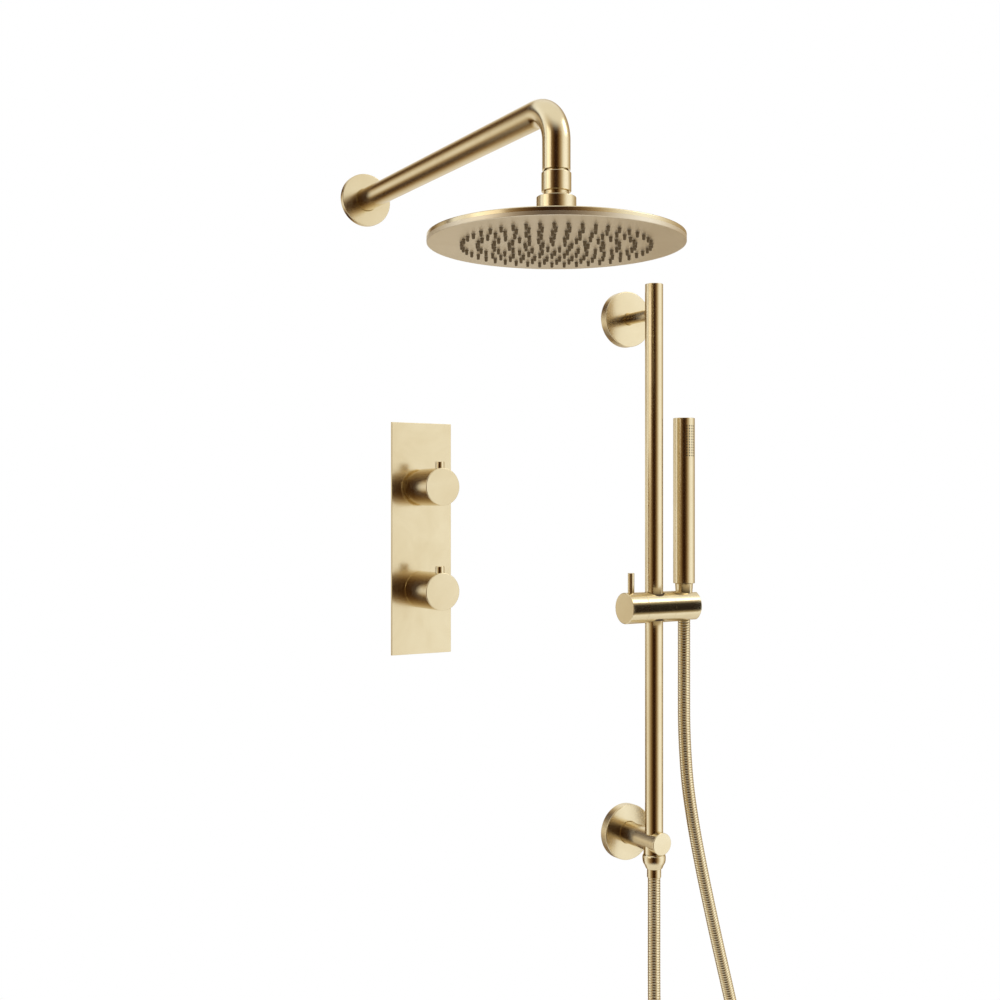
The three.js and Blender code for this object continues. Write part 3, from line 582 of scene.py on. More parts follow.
neck_foot = 7.3                                    # heights from here on are above the ball's middle
neck_head = collar_foot - swing_z
outline = [(4.2, -11.6)] + arc(BALL, -11.6, neck_foot - 0.4, 24)
groove_step = (neck_head - neck_foot) / 3
for groove in range(3):
    low = neck_foot + groove * groove_step
    outline += [(NECK, low), (NECK, low + groove_step * 0.7), (NECK - 0.55, low + groove_step * 0.75),
                (NECK - 0.55, low + groove_step * 0.95)]
outline += [(NECK, neck_head), (6.0, neck_head), (6.0, neck_head + 9), (4.2, neck_head + 9)]
bm = spun(outline, closed=True)
stand_for("swivel_ball", lay(bm, ball_place), head_brass)

cap_radius = extent("swivel_cap").x / 2
CAVITY, LIP, CAP_TOP, CAP_FOOT = 14.1, 11.6, 6.5, -10.0
bm = spun([(LIP, CAP_TOP - 1.2)] + arc(CAVITY, CAP_TOP - 1.2, 0, 8)
          + [(CAVITY, CAP_FOOT), (cap_radius, CAP_FOOT), (cap_radius, CAP_TOP), (LIP, CAP_TOP)],
          closed=True)
soften(bm, 0.6, ends=lambda vert: off_axis(vert) > LIP + 0.1)
stand_for("swivel_cap", lay(bm, ball_place), head_brass)

# %% [markdown]
# ## Rain head
# The head is a thin disc, and its back rises to a short boss. Its face is a sheet with a hole
# for each silicone nozzle. Cutting a hundred and fifty holes one after another would be slow, so
# the sheet is filled in one go between its rim and all the hole outlines. The rim is then spun
# on to it, and the bevel rounds the rim alone.

# %% Where the nozzles stand
RING_STEP = 12.2
NOZZLES_IN_RING = (8, 15, 23, 30, 38, 45)
nozzle_places = [
    (RING_STEP * (ring + 1), 2 * math.pi * (i + 0.5 * (ring % 2)) / count)
    for ring, count in enumerate(NOZZLES_IN_RING) for i in range(count)]
nozzle_places = [Vector((r * math.cos(turn), r * math.sin(turn), 0)) for r, turn in nozzle_places]
print(len(nozzle_places), "nozzles")

# %% Face plate
def sheet_with_holes(bm, places, radius, segments, thickness):
    """Fills the outline in bm, except for round holes, and makes it as thick as asked."""
    for place in places:
        bmesh.ops.create_circle(bm, cap_ends=False, radius=radius, segments=segments,
                                matrix=Matrix.Translation(place))
    bmesh.ops.triangle_fill(bm, use_beauty=True, use_dissolve=False, edges=list(bm.edges))
    raised = bmesh.ops.extrude_face_region(bm, geom=list(bm.faces), use_keep_orig=True)["geom"]
    bmesh.ops.translate(bm, vec=(0, 0, thickness),
                        verts=[part for part in raised if isinstance(part, bmesh.types.BMVert)])


head_radius = extent("head_face_plate").x / 2
PLATE, PAN_TOP, HOLE, FACE_STEPS = 1.2, 3.28, 1.8, 120
sheet_radius = head_radius - 2.5
bm = bmesh.new()
bmesh.ops.create_circle(bm, cap_ends=False, radius=sheet_radius, segments=FACE_STEPS)
sheet_with_holes(bm, nozzle_places, HOLE, 12, PLATE)
outer_wall = [face for face in bm.faces
              if all(off_axis(vert) > sheet_radius - 0.2 for vert in face.verts)]
bmesh.ops.delete(bm, geom=outer_wall, context="FACES_ONLY")
rim = [bm.verts.new((r, 0, h)) for r, h in (
    (sheet_radius, 0), (head_radius, 0), (head_radius, PAN_TOP), (sheet_radius, PAN_TOP),
    (sheet_radius, PLATE))]
rim_edges = [bm.edges.new(pair) for pair in zip(rim, rim[1:])]
bmesh.ops.spin(bm, geom=rim + rim_edges, cent=(0, 0, 0), axis=Z_AXIS, angle=2 * math.pi,
               steps=FACE_STEPS, use_merge=True)
bmesh.ops.remove_doubles(bm, verts=bm.verts, dist=1e-3)
bmesh.ops.recalc_face_normals(bm, faces=bm.faces)
soften(bm, 0.7, segments=4,
       ends=lambda vert: off_axis(vert) > head_radius - 0.01 and vert.co.z < 0.01)
face_brass = metal("blasted brass head face", (0.80, 0.71, 0.545, 1), (0.76, 0.665, 0.495, 1), 0.42,
                   rings, RING_DENSITY, RING_RELIEF, (head_axis, "Z"))
stand_for("head_face_plate", lay(bm, face_place), face_brass)

# %% Nozzles and the sheet that holds them
def as_pattern(bm, name):
    """The work as a mesh that can be copied into other work."""
    pattern = bpy.data.meshes.new(name)
    bm.to_mesh(pattern)
    bm.free()
    return pattern


SHEET_LOW, SHEET_HIGH, SHEET_BORDER = 1.5, 2.7, 12
sheet = as_pattern(rod(head_radius - SHEET_BORDER, SHEET_LOW, SHEET_HIGH, 64), "silicone sheet")
one_nozzle = spun([(0, 1.8), (1.45, 1.8), (1.4, 0.1), (1.2, -3.2), (0.95, -3.6), (0.45, -3.6),
                   (0.35, -2.7), (0, -2.7)], steps=10)
nozzle = as_pattern(one_nozzle, "nozzle")
silicone_piece = bmesh.new()
for place in nozzle_places:
    start = len(silicone_piece.verts)
    silicone_piece.from_mesh(nozzle)
    silicone_piece.verts.ensure_lookup_table()
    bmesh.ops.translate(silicone_piece, vec=place, verts=silicone_piece.verts[start:])
silicone_piece.from_mesh(sheet)

# %% Silicone material
def moulded(name, first, second, least, most, scale, detail=4.0, relief=0.2):
    """A dull moulded finish, with a fine mottle in its colour, roughness and relief."""
    material, tree, shader, surface = new_material(name)
    mottle = noise(tree, surface, scale, detail)
    dress(tree, shader, {"Base Color": colour_mix(tree, mottle, first, second),
                         "Roughness": ranged(tree, mottle, 0.0, 1.0, least, most)})
    if relief:
        bump = node(tree, "ShaderNodeBump", {
            "Height": mottle, "Strength": relief, "Distance": 0.00005})
        dress(tree, shader, {"Normal": bump.outputs["Normal"]})
    return material


# the second silicone is real tip material, made near black as painted shade inside the handset's spray holes
silicone, hole_shade_silicone = (
    moulded(name, dark, light, 0.45, 0.62, 900.0, 3.0, 0) for name, dark, light in (
        ("grey brown silicone", (0.13, 0.09, 0.045, 1), (0.21, 0.155, 0.085, 1)),
        ("near black silicone as painted hole shade", (0.03, 0.02, 0.012, 1), (0.05, 0.034, 0.02, 1))))
stand_for("nozzle_mat", lay(silicone_piece, face_place), silicone, 50)

# %% Top shell
BOSS, BACK, BACK_RISE, SHELL = 13.8, 30.0, 10.4, 1.6
RIM_HEIGHT = 6.6
ball_height = swing_z - head_underside
CUP = 14.15
cup_heights = (-0.985 * CUP, -0.714 * CUP, -0.3676 * CUP)
outline = [(6, ball_height - math.sqrt(CUP ** 2 - 36))]
outline += [(r, ball_height + h) for r, h in arc(CUP, cup_heights[1], cup_heights[2], 6)]
outline += [(BOSS, ball_height + cup_heights[2]), (BOSS, BACK_RISE + 8), (BACK, BACK_RISE),
            (head_radius, RIM_HEIGHT), (head_radius, PAN_TOP + 0.02),
            (head_radius - 2.5, PAN_TOP + 0.02), (head_radius - 2.5, RIM_HEIGHT - SHELL),
            (BACK, BACK_RISE - SHELL), (6, BACK_RISE - SHELL)]
bm = spun(outline, steps=FACE_STEPS, closed=True)
soften(bm, 0.9, segments=4,
       ends=lambda vert: off_axis(vert) > head_radius - 0.01 and vert.co.z > RIM_HEIGHT - 0.1)
soften(bm, 1.5, 12, 4,
       ends=lambda vert: abs(off_axis(vert) - BOSS) < 0.01 and vert.co.z < BACK_RISE + 8.5)
stand_for("head_top_shell", lay(bm, face_place), head_brass)

# %% [markdown]
# ## Valve plate and knobs
# The plate is a flat bar with a fine broken edge and two round ports. It is filled between its
# outline and the ports, as the head's face is, and then thickened. The knobs are cups that slip
# over the valve's necks. Each carries a short round lever pin and a hidden grub screw below.

# %% Plate
plate_size, plate_centre = extent("valve_plate"), middle("valve_plate")
flow_z, temp_z = middle("flow_knob").z, middle("temp_knob").z
PORT, BACK_FACE = 16.0, 0.1
bm = bmesh.new()
bmesh.ops.create_grid(bm, x_segments=1, y_segments=1, size=1)
bmesh.ops.delete(bm, geom=list(bm.faces), context="FACES_ONLY")
bmesh.ops.scale(bm, vec=(plate_size.x / 2, plate_size.z / 2, 1), verts=bm.verts)
sheet_with_holes(bm, [(0, flow_z, 0), (0, temp_z, 0)], PORT, 64, plate_size.y - BACK_FACE)
bmesh.ops.recalc_face_normals(bm, faces=bm.faces)
soften(bm, 0.45, 60, 4)
lay(bm, (plate_centre.x, -BACK_FACE, 0), OUTWARDS)
stand_for("valve_plate", bm, brushed_brass("plate", 0.17, "Z"))

# %% One knob with its pin
KNOB_WALL, HUB, HUB_BACK, WEB, SPINDLE, VALVE_NECK = 3.0, 8.0, 17.0, 3.5, 4.3, 11.3
def make_pin(node_name, name, edge, segments, steps):
    """A short upright pin, from the box of its part."""
    centre, size = middle(node_name), extent(node_name)
    bm = soften(rod(size.x / 2, -size.z / 2, size.z / 2, steps), edge, segments=segments)
    stand_for(node_name, lay(bm, centre), turned_brass(name, centre * MM, "Z"))


def make_knob(name):
    """The knob and its pin, from the boxes of their parts."""
    centre, size = middle(name + "_knob"), extent(name + "_knob")
    radius = size.x / 2
    front = -(centre.y - size.y / 2)
    back = front - size.y
    inner = radius - KNOB_WALL
    bm = spun([(0, front - WEB - 2), (SPINDLE, front - WEB - 2), (SPINDLE, HUB_BACK),
               (HUB, HUB_BACK), (HUB, front - WEB), (inner, front - WEB), (inner, back),
               (radius, back), (radius, front), (0, front)], steps=128)
    soften(bm, 0.8, segments=4, ends=lambda vert: off_axis(vert) > radius - 0.1)
    axis = Vector((centre.x, 0, centre.z))
    brass = turned_brass(name + " knob", axis * MM, "Y")
    stand_for(name + "_knob", lay(bm, axis, OUTWARDS), brass)
    make_pin(name + "_knob_pin", name + " pin", 0.6, 4, 64)
    return brass


knob_brass = {name: make_knob(name) for name in ("flow", "temp")}
collar_size = extent("flow_collar")
collar_back = -(middle("flow_collar").y + collar_size.y / 2)
bm = sleeve(VALVE_NECK, collar_size.x / 2, collar_back, collar_back + collar_size.y)
stand_for("flow_collar", lay(soften(bm, 0.3), (0, 0, flow_z), OUTWARDS), knob_brass["flow"])

# %% [markdown]
# ## Slide rail
# The rail is a capped tube between two posts. The upper post ends against the rail and is only a
# stay. The lower one is as thick as a pipe, because the water for the hose runs through it. Where
# tube meets post the one simply runs into the other, which leaves the curved saddle line that a
# fitter would file.

# %% Rail tube and its cap
rail_radius = extent("rail_tube").x / 2
rail_top, outlet_z = highest("rail_tube"), middle("outlet_end_cap").z
rail_axis = Vector((rail_centre.x, rail_centre.y, 0))
rail_brass = turned_brass("rail", rail_axis * MM, "Z")
RAIL_BORE = 8.5
bm = sleeve(RAIL_BORE, rail_radius, outlet_z + 9, rail_top)
soften(bm, 0.45, ends=lambda vert: vert.co.z > rail_top - 1)
stand_for("rail_tube", lay(bm, rail_axis), rail_brass)
bm = rod(RAIL_BORE - 0.1, lowest("rail_top_cap"), rail_top - 0.15)
stand_for("rail_top_cap", lay(soften(bm, 0.35), rail_axis), rail_brass)

# %% Flanges and posts
FLANGE_RECESS, RECESS_DEPTH = 24.0, 7.0


def make_wall_flange(name, bore, brass):
    """A thick round flange, hollow behind, that a post comes out of."""
    size, centre = extent(name), middle(name)
    radius, depth = size.x / 2, size.y
    bm = spun([(bore, RECESS_DEPTH), (FLANGE_RECESS, RECESS_DEPTH), (FLANGE_RECESS, 0.05),
               (radius, 0.05), (radius, depth), (bore, depth)], steps=128, closed=True)
    soften(bm, 0.9, segments=4)
    stand_for(name, lay(bm, (centre.x, 0, centre.z), OUTWARDS), brass)


top_axis = Vector((rail_centre.x, 0, middle("top_flange").z))
outlet_axis = Vector((rail_centre.x, 0, outlet_z))
top_brass = turned_brass("top post", top_axis * MM, "Y")
outlet_brass = turned_brass("outlet", outlet_axis * MM, "Y")
post_radius, outlet_radius = extent("top_post").x / 2, extent("outlet_end_cap").x / 2
make_wall_flange("top_flange", post_radius + 0.05, top_brass)
make_wall_flange("outlet_flange", outlet_radius + 0.05, outlet_brass)
bm = sleeve(4.5, post_radius, RECESS_DEPTH + 0.5, rail_out - 9)
stand_for("top_post", lay(bm, top_axis, OUTWARDS), top_brass)

# %% Outlet post with its spout, and the end cap
end_cap_front = -(middle("outlet_end_cap").y - extent("outlet_end_cap").y / 2)
end_cap_back = end_cap_front - extent("outlet_end_cap").y
OUTLET_BORE, SPOUT_BORE, SPOUT_NECK, SPOUT = 8, 5, 8.5, 11.6
bm = spun([(OUTLET_BORE, 0.3), (outlet_radius, 0.3), (outlet_radius, end_cap_back - 0.12),
           (0, end_cap_back - 0.12), (0, end_cap_back - 8), (OUTLET_BORE, end_cap_back - 8)])
back_ring = [edge for edge in bm.edges if edge.is_boundary]
bmesh.ops.bridge_loops(bm, edges=back_ring)
bmesh.ops.recalc_face_normals(bm, faces=bm.faces)
lay(bm, outlet_axis, OUTWARDS)
spout = spun([(SPOUT_BORE, -21), (SPOUT_NECK, -21), (SPOUT_NECK, -outlet_radius - 0.9),
              (SPOUT, -outlet_radius - 0.9), (SPOUT, 0), (SPOUT_BORE, 0)], closed=True)
lay(soften(spout, 0.3), (rail_centre.x, -rail_out, outlet_z))
bm.from_mesh(as_pattern(spout, "spout"))
stand_for("outlet_post", bm, outlet_brass)
bm = rod(outlet_radius, end_cap_back, end_cap_front)
soften(bm, 0.7, segments=4, ends=lambda vert: vert.co.z > end_cap_front - 0.1)
stand_for("outlet_end_cap", lay(bm, outlet_axis, OUTWARDS), outlet_brass)

# %% [markdown]
# ## Slider and holder
# The slider is one thick bar in three pieces: a clamp knob on the left, the body on the rail and
# the handset holder on the right. The holder has a tapered seat with a slot, so the hose can be
# slipped in from the side. Spinning can't make a slot. A boolean cuts it, and the tools for the
# cut are thrown away afterwards.

# %% A saw and drill for finished pieces
def carved(bm, *cutters):
    """The shape of bm with the shapes of the cutters taken out of it."""
    objects = []
    for number, shape in enumerate((bm,) + cutters):
        name = f"cutting {number}"
        objects.append(bpy.data.objects.new(name, as_pattern(shape, name)))
        bpy.context.scene.collection.objects.link(objects[-1])
    for cutter in objects[1:]:
        cut = objects[0].modifiers.new("cut", "BOOLEAN")
        cut.operation, cut.object, cut.solver = "DIFFERENCE", cutter, "EXACT"
    bpy.context.view_layer.update()
    result = bmesh.new()
    result.from_object(objects[0], bpy.context.evaluated_depsgraph_get())
    for piece in objects:
        bpy.data.meshes.remove(piece.data)
    bmesh.ops.remove_doubles(result, verts=result.verts, dist=1e-3)
    return result


def bar(left, right, radius, soft_left, soft_right):
    """A round bar along X whose two ends are softened by different amounts."""
    bm = rod(radius, left, right, 128)
    for height, size in ((left, soft_left), (right, soft_right)):
        soften(bm, size, ends=lambda vert: abs(vert.co.z - height) < 0.01)
    return lay(bm, (0, 0, 0), SIDEWAYS)


# %% Slider body, clamp knob and its pin
slide_centre = middle("slider_body")
slide_place = Vector((rail_centre.x, rail_centre.y, slide_centre.z))
slide_radius = extent("slider_body").z / 2
SEAM, BUSH_HOLE = 0.15, 11.75
slider_brass = turned_brass("slider", slide_place * MM, "X")


def ends_of(name):
    """How far a part reaches to the left and right of the rail."""
    half = extent(name).x / 2
    return middle(name).x - half - rail_centre.x, middle(name).x + half - rail_centre.x


left, right = ends_of("slider_body")
bm = carved(bar(left - 0.1, right + 0.1, slide_radius, SEAM, SEAM), rod(BUSH_HOLE, -30, 30, 64))
stand_for("slider_body", lay(bm, slide_place), slider_brass)
left, right = ends_of("clamp_knob")
stand_for("clamp_knob", lay(bar(left, right, slide_radius, 0.8, SEAM), slide_place), slider_brass)
make_pin("clamp_pin", "clamp pin", 0.5, 3, 48)

# %% Handset holder with its seat and slot
holder_left = ends_of("slider_body")[1] + 0.15
holder_right = ends_of("handset_holder")[1]
seat_x = middle("handset_body").x - rail_centre.x
nut_top, nut_end = highest("upper_hose_nut"), lowest("upper_hose_nut")
NUT_TOP, NUT_FOOT = extent("upper_hose_nut").x / 2, 7.6


def seat_radius(height):
    """The tapered seat follows the nut with a little room all round."""
    share = (nut_top - height) / (nut_top - nut_end)
    return NUT_TOP + (NUT_FOOT - NUT_TOP) * share + 0.35


low, high = slide_place.z - 20, slide_place.z + 20
seat = spun([(0, -20), (seat_radius(low), -20), (seat_radius(high), 20), (0, 20)], steps=64)
lay(seat, (seat_x, 0, 0))
slot = bmesh.new()
bmesh.ops.create_cube(slot, size=1)
bmesh.ops.scale(slot, vec=(40, HOSE_SIZE + 1.2, 50), verts=slot.verts)
lay(slot, (seat_x + 20, 0, 0))
bm = carved(bar(holder_left, holder_right, slide_radius, SEAM, 0.8), seat, slot)
stand_for("handset_holder", lay(bm, slide_place), slider_brass)

# %% [markdown]
# ## Hand shower
# A stick: a plain tube with four rows of spray holes near its top, facing the room, and a tapered
# nut below. Each hole is drilled through the wall, towards the axis.

# %% Handset body and its spray holes
stick = middle("handset_body")
stick_axis = Vector((stick.x, stick.y, 0))
stick_radius = extent("handset_body").x / 2
stick_top, stick_foot = highest("handset_body"), lowest("handset_body")
STICK_BORE = stick_radius - 1.8
SPRAY_COLUMNS, SPRAY_ROWS = (-22.5, -7.9, 7.9, 22.5), 12
SPRAY_FIRST, SPRAY_STEP, SPRAY_HOLE = 90.2, 3.0, 0.8
bm = spun([(6.5, stick_foot), (stick_radius, stick_foot), (stick_radius, stick_top),
           (STICK_BORE, stick_top), (STICK_BORE, stick_foot + 12), (6.5, stick_foot + 12)],
          steps=128, closed=True)
soften(bm, 0.5, ends=lambda vert: off_axis(vert) > stick_radius - 0.1)


def on_spray_grid(foot, head, depth, sunk, segments):
    """A small cone at each spray hole, with its middle sunk below the stick's surface."""
    cones = bmesh.new()
    for turn in SPRAY_COLUMNS:
        heading = Matrix.Rotation(math.radians(turn), 3, "Z") @ OUTWARDS
        for row in range(SPRAY_ROWS):
            cone = bmesh.ops.create_cone(cones, cap_ends=True, segments=segments, radius1=foot,
                                         radius2=head, depth=depth)["verts"]
            bmesh.ops.translate(cones, vec=(0, 0, stick_radius - sunk), verts=cone)
            bmesh.ops.rotate(cones, cent=(0, 0, 0), matrix=heading, verts=cone)
            bmesh.ops.translate(cones, vec=(0, 0, SPRAY_FIRST + row * SPRAY_STEP), verts=cone)
    return cones


drills = on_spray_grid(SPRAY_HOLE, SPRAY_HOLE, 6, 1, 14)
stick_brass = turned_brass("handset", stick_axis * MM, "Z")
stand_for("handset_body", lay(carved(bm, drills), stick_axis), stick_brass)
print(len(SPRAY_COLUMNS) * SPRAY_ROWS, "spray holes")

# %% Silicone spray tips, near black as painted shade in the holes
tips = on_spray_grid(SPRAY_HOLE - 0.02, SPRAY_HOLE - 0.12, 1.2, 0.85, 12)
spray_tips = finished("spray_tips", lay(tips, stick_axis))
spray_tips.data.materials.append(hole_shade_silicone)
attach(spray_tips, "handset")

# %% End cap and upper nut
bm = rod(STICK_BORE - 0.05, stick_top - 3, stick_top - 0.1)
stand_for("handset_end_cap", lay(soften(bm, 0.25), stick_axis), stick_brass)
HOSE_BORE = 4.5
bm = spun([(HOSE_BORE, nut_end), (NUT_FOOT, nut_end), (NUT_TOP, nut_top), (HOSE_BORE, nut_top)],
          closed=True)
upper_nut = stand_for("upper_hose_nut", lay(soften(bm, 0.4), stick_axis), stick_brass)

# %% Lower nut and ferrule
nut_low, nut_high = lowest("lower_hose_nut"), highest("lower_hose_nut")
nut_radius = extent("lower_hose_nut").x / 2
nut_shape = (       # radius, and height above the nut's foot: a hollow flare up to a round shoulder
    (9.0, 0), (9.6, 0.9), (10.2, 2.6), (11.2, 4.6), (12.4, 6.6), (nut_radius, 9.6),
    (nut_radius, 12.8))
seat_end = nut_high - 8.6
bm = spun([(HOSE_BORE, nut_low)] + [(radius, nut_low + rise) for radius, rise in nut_shape]
          + [(nut_radius - 0.5, nut_high - 1.1), (nut_radius - 1.5, nut_high), (8.8, nut_high),
             (8.8, seat_end), (HOSE_BORE, seat_end)], closed=True)
lower_nut = stand_for("lower_hose_nut", lay(bm, rail_axis), rail_brass, flat_below=40)
bm = sleeve(HOSE_BORE, extent("lower_hose_ferrule").x / 2, lowest("lower_hose_ferrule"),
            highest("lower_hose_ferrule"))
ferrule = stand_for("lower_hose_ferrule", lay(soften(bm, 0.4), rail_axis), rail_brass)

# %% [markdown]
# ## Hose finish and the sizes that were cut
# The valleys between the ribs are painted dark brown, as painted shade where no light gets in. The ribs
# carry their own height as an attribute, so the painted shade follows every bend.

# %% Hose material
hose_brass, tree, shader, surface = new_material("ribbed brass hose")
rib = node(tree, "ShaderNodeAttribute", attribute_name="rib").outputs["Fac"]
tint = colour_mix(tree, haze_at(tree, surface), BRASS_BRIGHT, BRASS_DEEP)
# painted shade: the colour turns dark brown down in the valleys, led by the rib height
VALLEY_PAINTED_SHADE = (0.12, 0.07, 0.03, 1)
dress(tree, shader, {
    "Base Color": colour_mix(tree, ranged(tree, rib, 0.05, 0.7), VALLEY_PAINTED_SHADE, tint),
    "Roughness": ranged(tree, rib, 0.0, 1.0, 0.42, 0.14)})
shader.inputs["Metallic"].default_value = 1.0
for piece in hose_pieces.values():
    piece.data.materials.append(hose_brass)

for run, piece in hose_pieces.items():
    line = [tuple(point * MM) for point in hose_lines[run]]
print("hose length", round(sum(hose_length.values())), "mm")

# %% [markdown]
# ## Parts that stay as they are
# Seals, plastics, screws and the brass body inside the wall keep the frame's own shape. They
# still get finishes: as-cast brass, turned steel, rubber and plastic. The dark plastic's warm brown is
# partly painted shade for the gaps round the bush and the stop ring.

# %% Finishes for the kept parts
KEPT_FINISH = {
    "raw_brass": metal("cast brass", (0.60, 0.44, 0.21, 1), (0.47, 0.32, 0.14, 1), 0.38,
                       brushing, 900.0, 0.5),
    "steel": metal("turned steel", (0.62, 0.62, 0.61, 1), (0.52, 0.52, 0.52, 1), 0.3,
                   brushing, 2000.0, 0.5),
    "seal_rubber": moulded("black rubber", (0.035, 0.034, 0.033, 1), (0.02, 0.02, 0.02, 1),
                           0.64, 0.80, 700.0),
    "white_plastic": moulded("white plastic", (0.82, 0.81, 0.77, 1), (0.76, 0.75, 0.70, 1),
                             0.34, 0.50, 500.0),
    # dark plastic of the bush and stop ring, tinted warm brown as painted shade for the shadow line in their
    # gaps
    "dark_plastic": moulded("dark plastic in painted shade brown", (0.12, 0.072, 0.034, 1), (0.085, 0.05, 0.024, 1),
                            0.62, 0.78, 500.0),
}
KEPT_PARTS = {
    "raw_brass": ("arm_inlet_nipple", "flow_cartridge", "temp_cartridge", "valve_body",
                  "cold_inlet_union", "hot_inlet_union", "head_outlet_union",
                  "handset_outlet_union", "top_wall_boss", "outlet_wall_nipple",
                  "flow_spindle", "temp_spindle"),
    "steel": ("top_wall_screw", "flow_knob_screw", "temp_knob_screw", "clamp_screw"),
    "seal_rubber": ("arm_flange_seal", "plate_gasket", "head_gasket"),
    "white_plastic": ("swivel_lower_seat", "swivel_upper_seat", "head_flow_filter",
                      "outlet_check_valve", "handset_liner"),
    "dark_plastic": ("temp_stop_ring", "slider_bush"),
}
for slot, parts in KEPT_PARTS.items():
    for name in parts:
        for material_slot in frame["nodes"][name].material_slots:
            material_slot.material = KEPT_FINISH[slot]
print("kept parts:", sum(len(parts) for parts in KEPT_PARTS.values()))

# %% [markdown]
# ## Wall, floor and light
# Polished tubes show the room more than themselves. Their dark core and bright sides come from a
# dim strip behind the camera and broad white ones beside it. So the room's brightness is drawn
# round the compass, and it turns white overhead and below. Surfaces that mirror what lies beyond
# the wall, such as the arm and the posts, get two drawings of their own, for a narrow and a wider
# view in that direction. The dim parts are warm, because brass mirrors other brass there. A small
# dark card in front of the slider gives it a core too. The wall is only a backdrop: it is white
# for the camera, see-through from behind, and nothing else meets it.

# %% A backdrop that only the camera sees
def backdrop(name, corner, opposite, material):
    """A flat rectangle between two corners that share one coordinate."""
    size = Vector(opposite) - Vector(corner)
    bm = bmesh.new()
    bmesh.ops.create_grid(bm, x_segments=1, y_segments=1, size=0.5)
    if size.z:
        bmesh.ops.rotate(bm, cent=(0, 0, 0), matrix=OUTWARDS, verts=bm.verts)
    stretch = [side or 1 for side in size]
    bmesh.ops.scale(bm, vec=stretch, verts=bm.verts)
    bmesh.ops.translate(bm, vec=Vector(corner) + size / 2, verts=bm.verts)
    mesh = as_pattern(bm, name)
    mesh.materials.append(material)
    plane = bpy.data.objects.new(name, mesh)
    bpy.context.scene.collection.objects.link(plane)
    plane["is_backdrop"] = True
    return plane


def emptied(owner):
    """The node tree of a material or a world, with nothing in it."""
    owner.use_nodes = True
    owner.node_tree.nodes.clear()
    return owner.node_tree


def clear_behind(tree, front):
    """Shows what a surface has in front, and nothing from behind."""
    behind = node(tree, "ShaderNodeNewGeometry").outputs["Backfacing"]
    clear = node(tree, "ShaderNodeBsdfTransparent").outputs[0]
    return node(tree, "ShaderNodeMixShader", {0: behind, 1: front, 2: clear}).outputs[0]


def hidden_from(plane, *rays):
    """Keeps a backdrop out of some kinds of ray."""
    for ray in rays:
        setattr(plane, "visible_" + ray, False)


UNLIT = ("diffuse", "transmission", "shadow", "volume_scatter")
wall_white = bpy.data.materials.new("white wall")
tree = emptied(wall_white)
glow = node(tree, "ShaderNodeEmission", {"Color": (1, 1, 1, 1), "Strength": 1.0})
node(tree, "ShaderNodeOutputMaterial", {"Surface": clear_behind(tree, glow.outputs[0])})
WALL_BEHIND = 0.0012
wall = backdrop("wall", (-2.5, WALL_BEHIND, -0.8), (3.0, WALL_BEHIND, 1.8), wall_white)
hidden_from(wall, "glossy", *UNLIT)

pale, tree, shader, surface = new_material("pale floor")
grain = noise(tree, surface, 6.0, 4.0)
dress(tree, shader, {
    "Base Color": colour_mix(tree, grain, (0.82, 0.81, 0.79, 1), (0.86, 0.85, 0.83, 1))})
shader.inputs["Roughness"].default_value = 0.7
output = next(n for n in tree.nodes if n.type == "OUTPUT_MATERIAL")
dress(tree, output, {"Surface": clear_behind(tree, shader.outputs[0])})
FLOOR = min(point.z for point in route_points) * MM - 0.02
floor = backdrop("floor", (-6, -6, FLOOR), (6, 6, FLOOR), pale)
hidden_from(floor, "glossy")       # a floor mirrored in the tubes would wipe out their dark cores

# %% The brightness of the room round the compass
ROOM = (        # degrees from straight out of the wall, positive to the right, and the brightness
    (-180, 0.70), (-165, 1.00), (-150, 1.15), (-130, 1.10), (-112, 0.92), (-97, 0.66),
    (-84, 0.44), (-70, 0.24), (-56, 0.09), (-45, 0.025), (-33, 0.02), (-23, 0.04), (-10, 0.17),
    (5, 0.48), (17, 0.80), (29, 1.08), (45, 1.18), (62, 1.14), (80, 0.80), (100, 0.52),
    (125, 0.42), (150, 0.55),
)
PAST_WALL = (   # degrees round the line into the wall, 0 to the right and 90 up, a narrow view
    (-180, 0.92), (-165, 0.76), (-152, 0.36), (-138, 0.10), (-124, 0.03), (-112, 0.06),
    (-98, 0.20), (-82, 0.46), (-62, 0.72), (-40, 0.84), (-10, 0.84), (30, 0.90), (60, 0.85),
    (80, 0.60), (98, 0.24), (112, 0.08), (126, 0.09), (140, 0.30), (152, 0.62), (166, 0.84),
)
BESIDE_WALL = (     # the same for a wider view
    (-180, 0.55), (-165, 0.68), (-150, 0.72), (-134, 0.74), (-120, 0.58), (-104, 0.26),
    (-88, 0.07), (-70, 0.06), (-50, 0.22), (-28, 0.60), (0, 0.85), (30, 0.95), (55, 1.05),
    (68, 0.95), (83, 0.65), (97, 0.36), (110, 0.12), (124, 0.03), (150, 0.03), (166, 0.12),
)
world = bpy.data.worlds.new("room")
bpy.context.scene.world = world
tree = emptied(world)
heading = node(tree, "ShaderNodeSeparateXYZ", {
    0: node(tree, "ShaderNodeTexCoord").outputs["Generated"]})
out_x, out_y, out_z = (heading.outputs[axis] for axis in "XYZ")
PEAK = max(level for _, level in ROOM)


def round_ramp(across, along, levels):
    """Colours round a full turn, measured from one direction towards another."""
    share = ranged(tree, maths(tree, "ARCTAN2", across, along), -math.pi, math.pi)
    strips = node(tree, "ShaderNodeValToRGB", {"Fac": share})
    bands = strips.color_ramp.elements
    for number, (degrees, level) in enumerate(levels + ((180, levels[0][1]),)):
        position = (degrees + 180) / 360
        band = bands[number] if number < 2 else bands.new(position)
        band.position = position
        warm = min(level, 1.1)
        band.color = (level / PEAK, level * warm ** 0.35 / PEAK, level * warm / PEAK, 1)
    return strips.outputs["Color"]


def eased(tree, value, low, high):
    """Nought below low, one above high and smooth between them."""
    return ranged(tree, value, low, high, interpolation_type="SMOOTHSTEP")


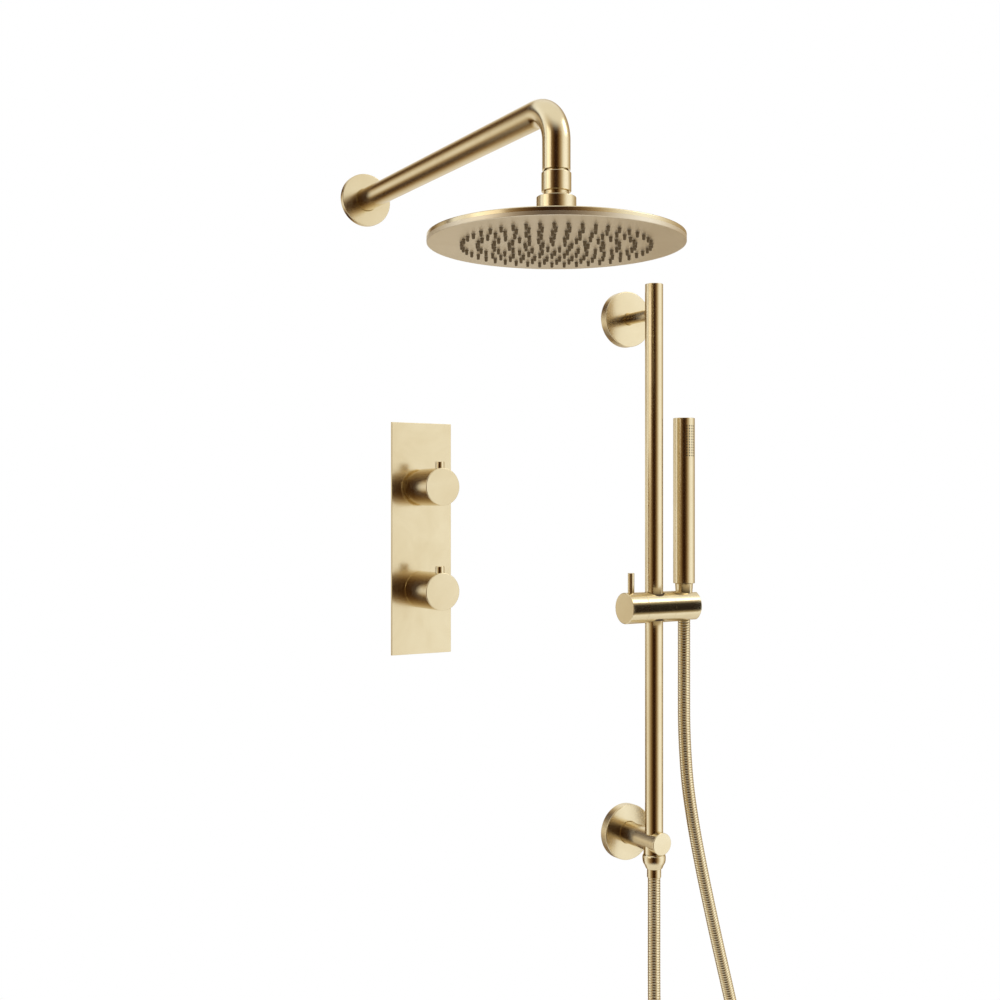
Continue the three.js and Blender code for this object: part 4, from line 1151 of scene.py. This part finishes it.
towards_room = maths(tree, "MULTIPLY", out_y, -1.0)
steepness = maths(tree, "ABSOLUTE", out_z)
white = (0.95 / PEAK, 0.95 / PEAK, 0.95 / PEAK, 1)
lit = round_ramp(out_x, towards_room, ROOM)
lit = colour_mix(tree, eased(tree, steepness, 0.50, 0.85), lit, white)
lit = colour_mix(tree, eased(tree, out_y, 0.68, 0.74), lit, round_ramp(out_z, out_x, BESIDE_WALL))
lit = colour_mix(tree, eased(tree, out_y, 0.785, 0.805), lit, round_ramp(out_z, out_x, PAST_WALL))
seen_directly = node(tree, "ShaderNodeLightPath").outputs["Is Camera Ray"]
plain = colour_mix(tree, seen_directly, lit, (0.93 / PEAK, 0.93 / PEAK, 0.92 / PEAK, 1))
room_light = node(tree, "ShaderNodeBackground", {"Color": plain, "Strength": PEAK})
node(tree, "ShaderNodeOutputWorld", {"Surface": room_light.outputs[0]})

# %% A dark card for the slider
CARD_MIDDLE = Vector((0.276, -0.088, -0.0780))
card_half = Vector((0.050, 0, 0.021))
card_dark = bpy.data.materials.new("dark card")
tree = emptied(card_dark)
place = node(tree, "ShaderNodeSeparateXYZ", {0: node(tree, "ShaderNodeTexCoord").outputs["Object"]})
off_middle = maths(tree, "ABSOLUTE", maths(tree, "ADD", place.outputs["Z"], -CARD_MIDDLE.z))
paler = eased(tree, off_middle, 0.009, card_half.z)
card_glow = node(tree, "ShaderNodeEmission", {
    "Color": colour_mix(tree, paler, (0.012, 0.005, 0.001, 1), (0.60, 0.50, 0.34, 1))})
node(tree, "ShaderNodeOutputMaterial", {"Surface": card_glow.outputs[0]})
card = backdrop("card", CARD_MIDDLE - card_half, CARD_MIDDLE + card_half, card_dark)
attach(card, "slider")            # the card keeps facing the slider when that slides
hidden_from(card, "camera", *UNLIT)

# %% Soft lamps
def soft_lamp(name, place, target, size, watts):
    """A square lamp that points at a target."""
    lamp = bpy.data.lights.new(name, "AREA")
    lamp.size, lamp.energy = size, watts
    holder = bpy.data.objects.new(name, lamp)
    holder.location = place
    holder.rotation_euler = (Vector(target) - Vector(place)).to_track_quat("-Z", "Y").to_euler()
    holder.visible_camera = False
    bpy.context.scene.collection.objects.link(holder)


soft_lamp("key lamp", (1.5, -1.3, 1.6), (0.1, -0.1, 0), 1.0, 6)
soft_lamp("fill lamp", (-2.2, -0.2, 0.8), (0.1, -0.1, 0), 1.2, 4)
bpy.context.scene.view_settings.view_transform = "Standard"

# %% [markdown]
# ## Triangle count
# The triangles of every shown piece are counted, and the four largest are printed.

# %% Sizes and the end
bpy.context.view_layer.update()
triangles = {piece.name: sum(len(face.vertices) - 2 for face in piece.data.polygons)
             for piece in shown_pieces()}
most = sorted(triangles.items(), key=lambda item: -item[1])[:4]
print("triangles:", sum(triangles.values()), "most:", most)
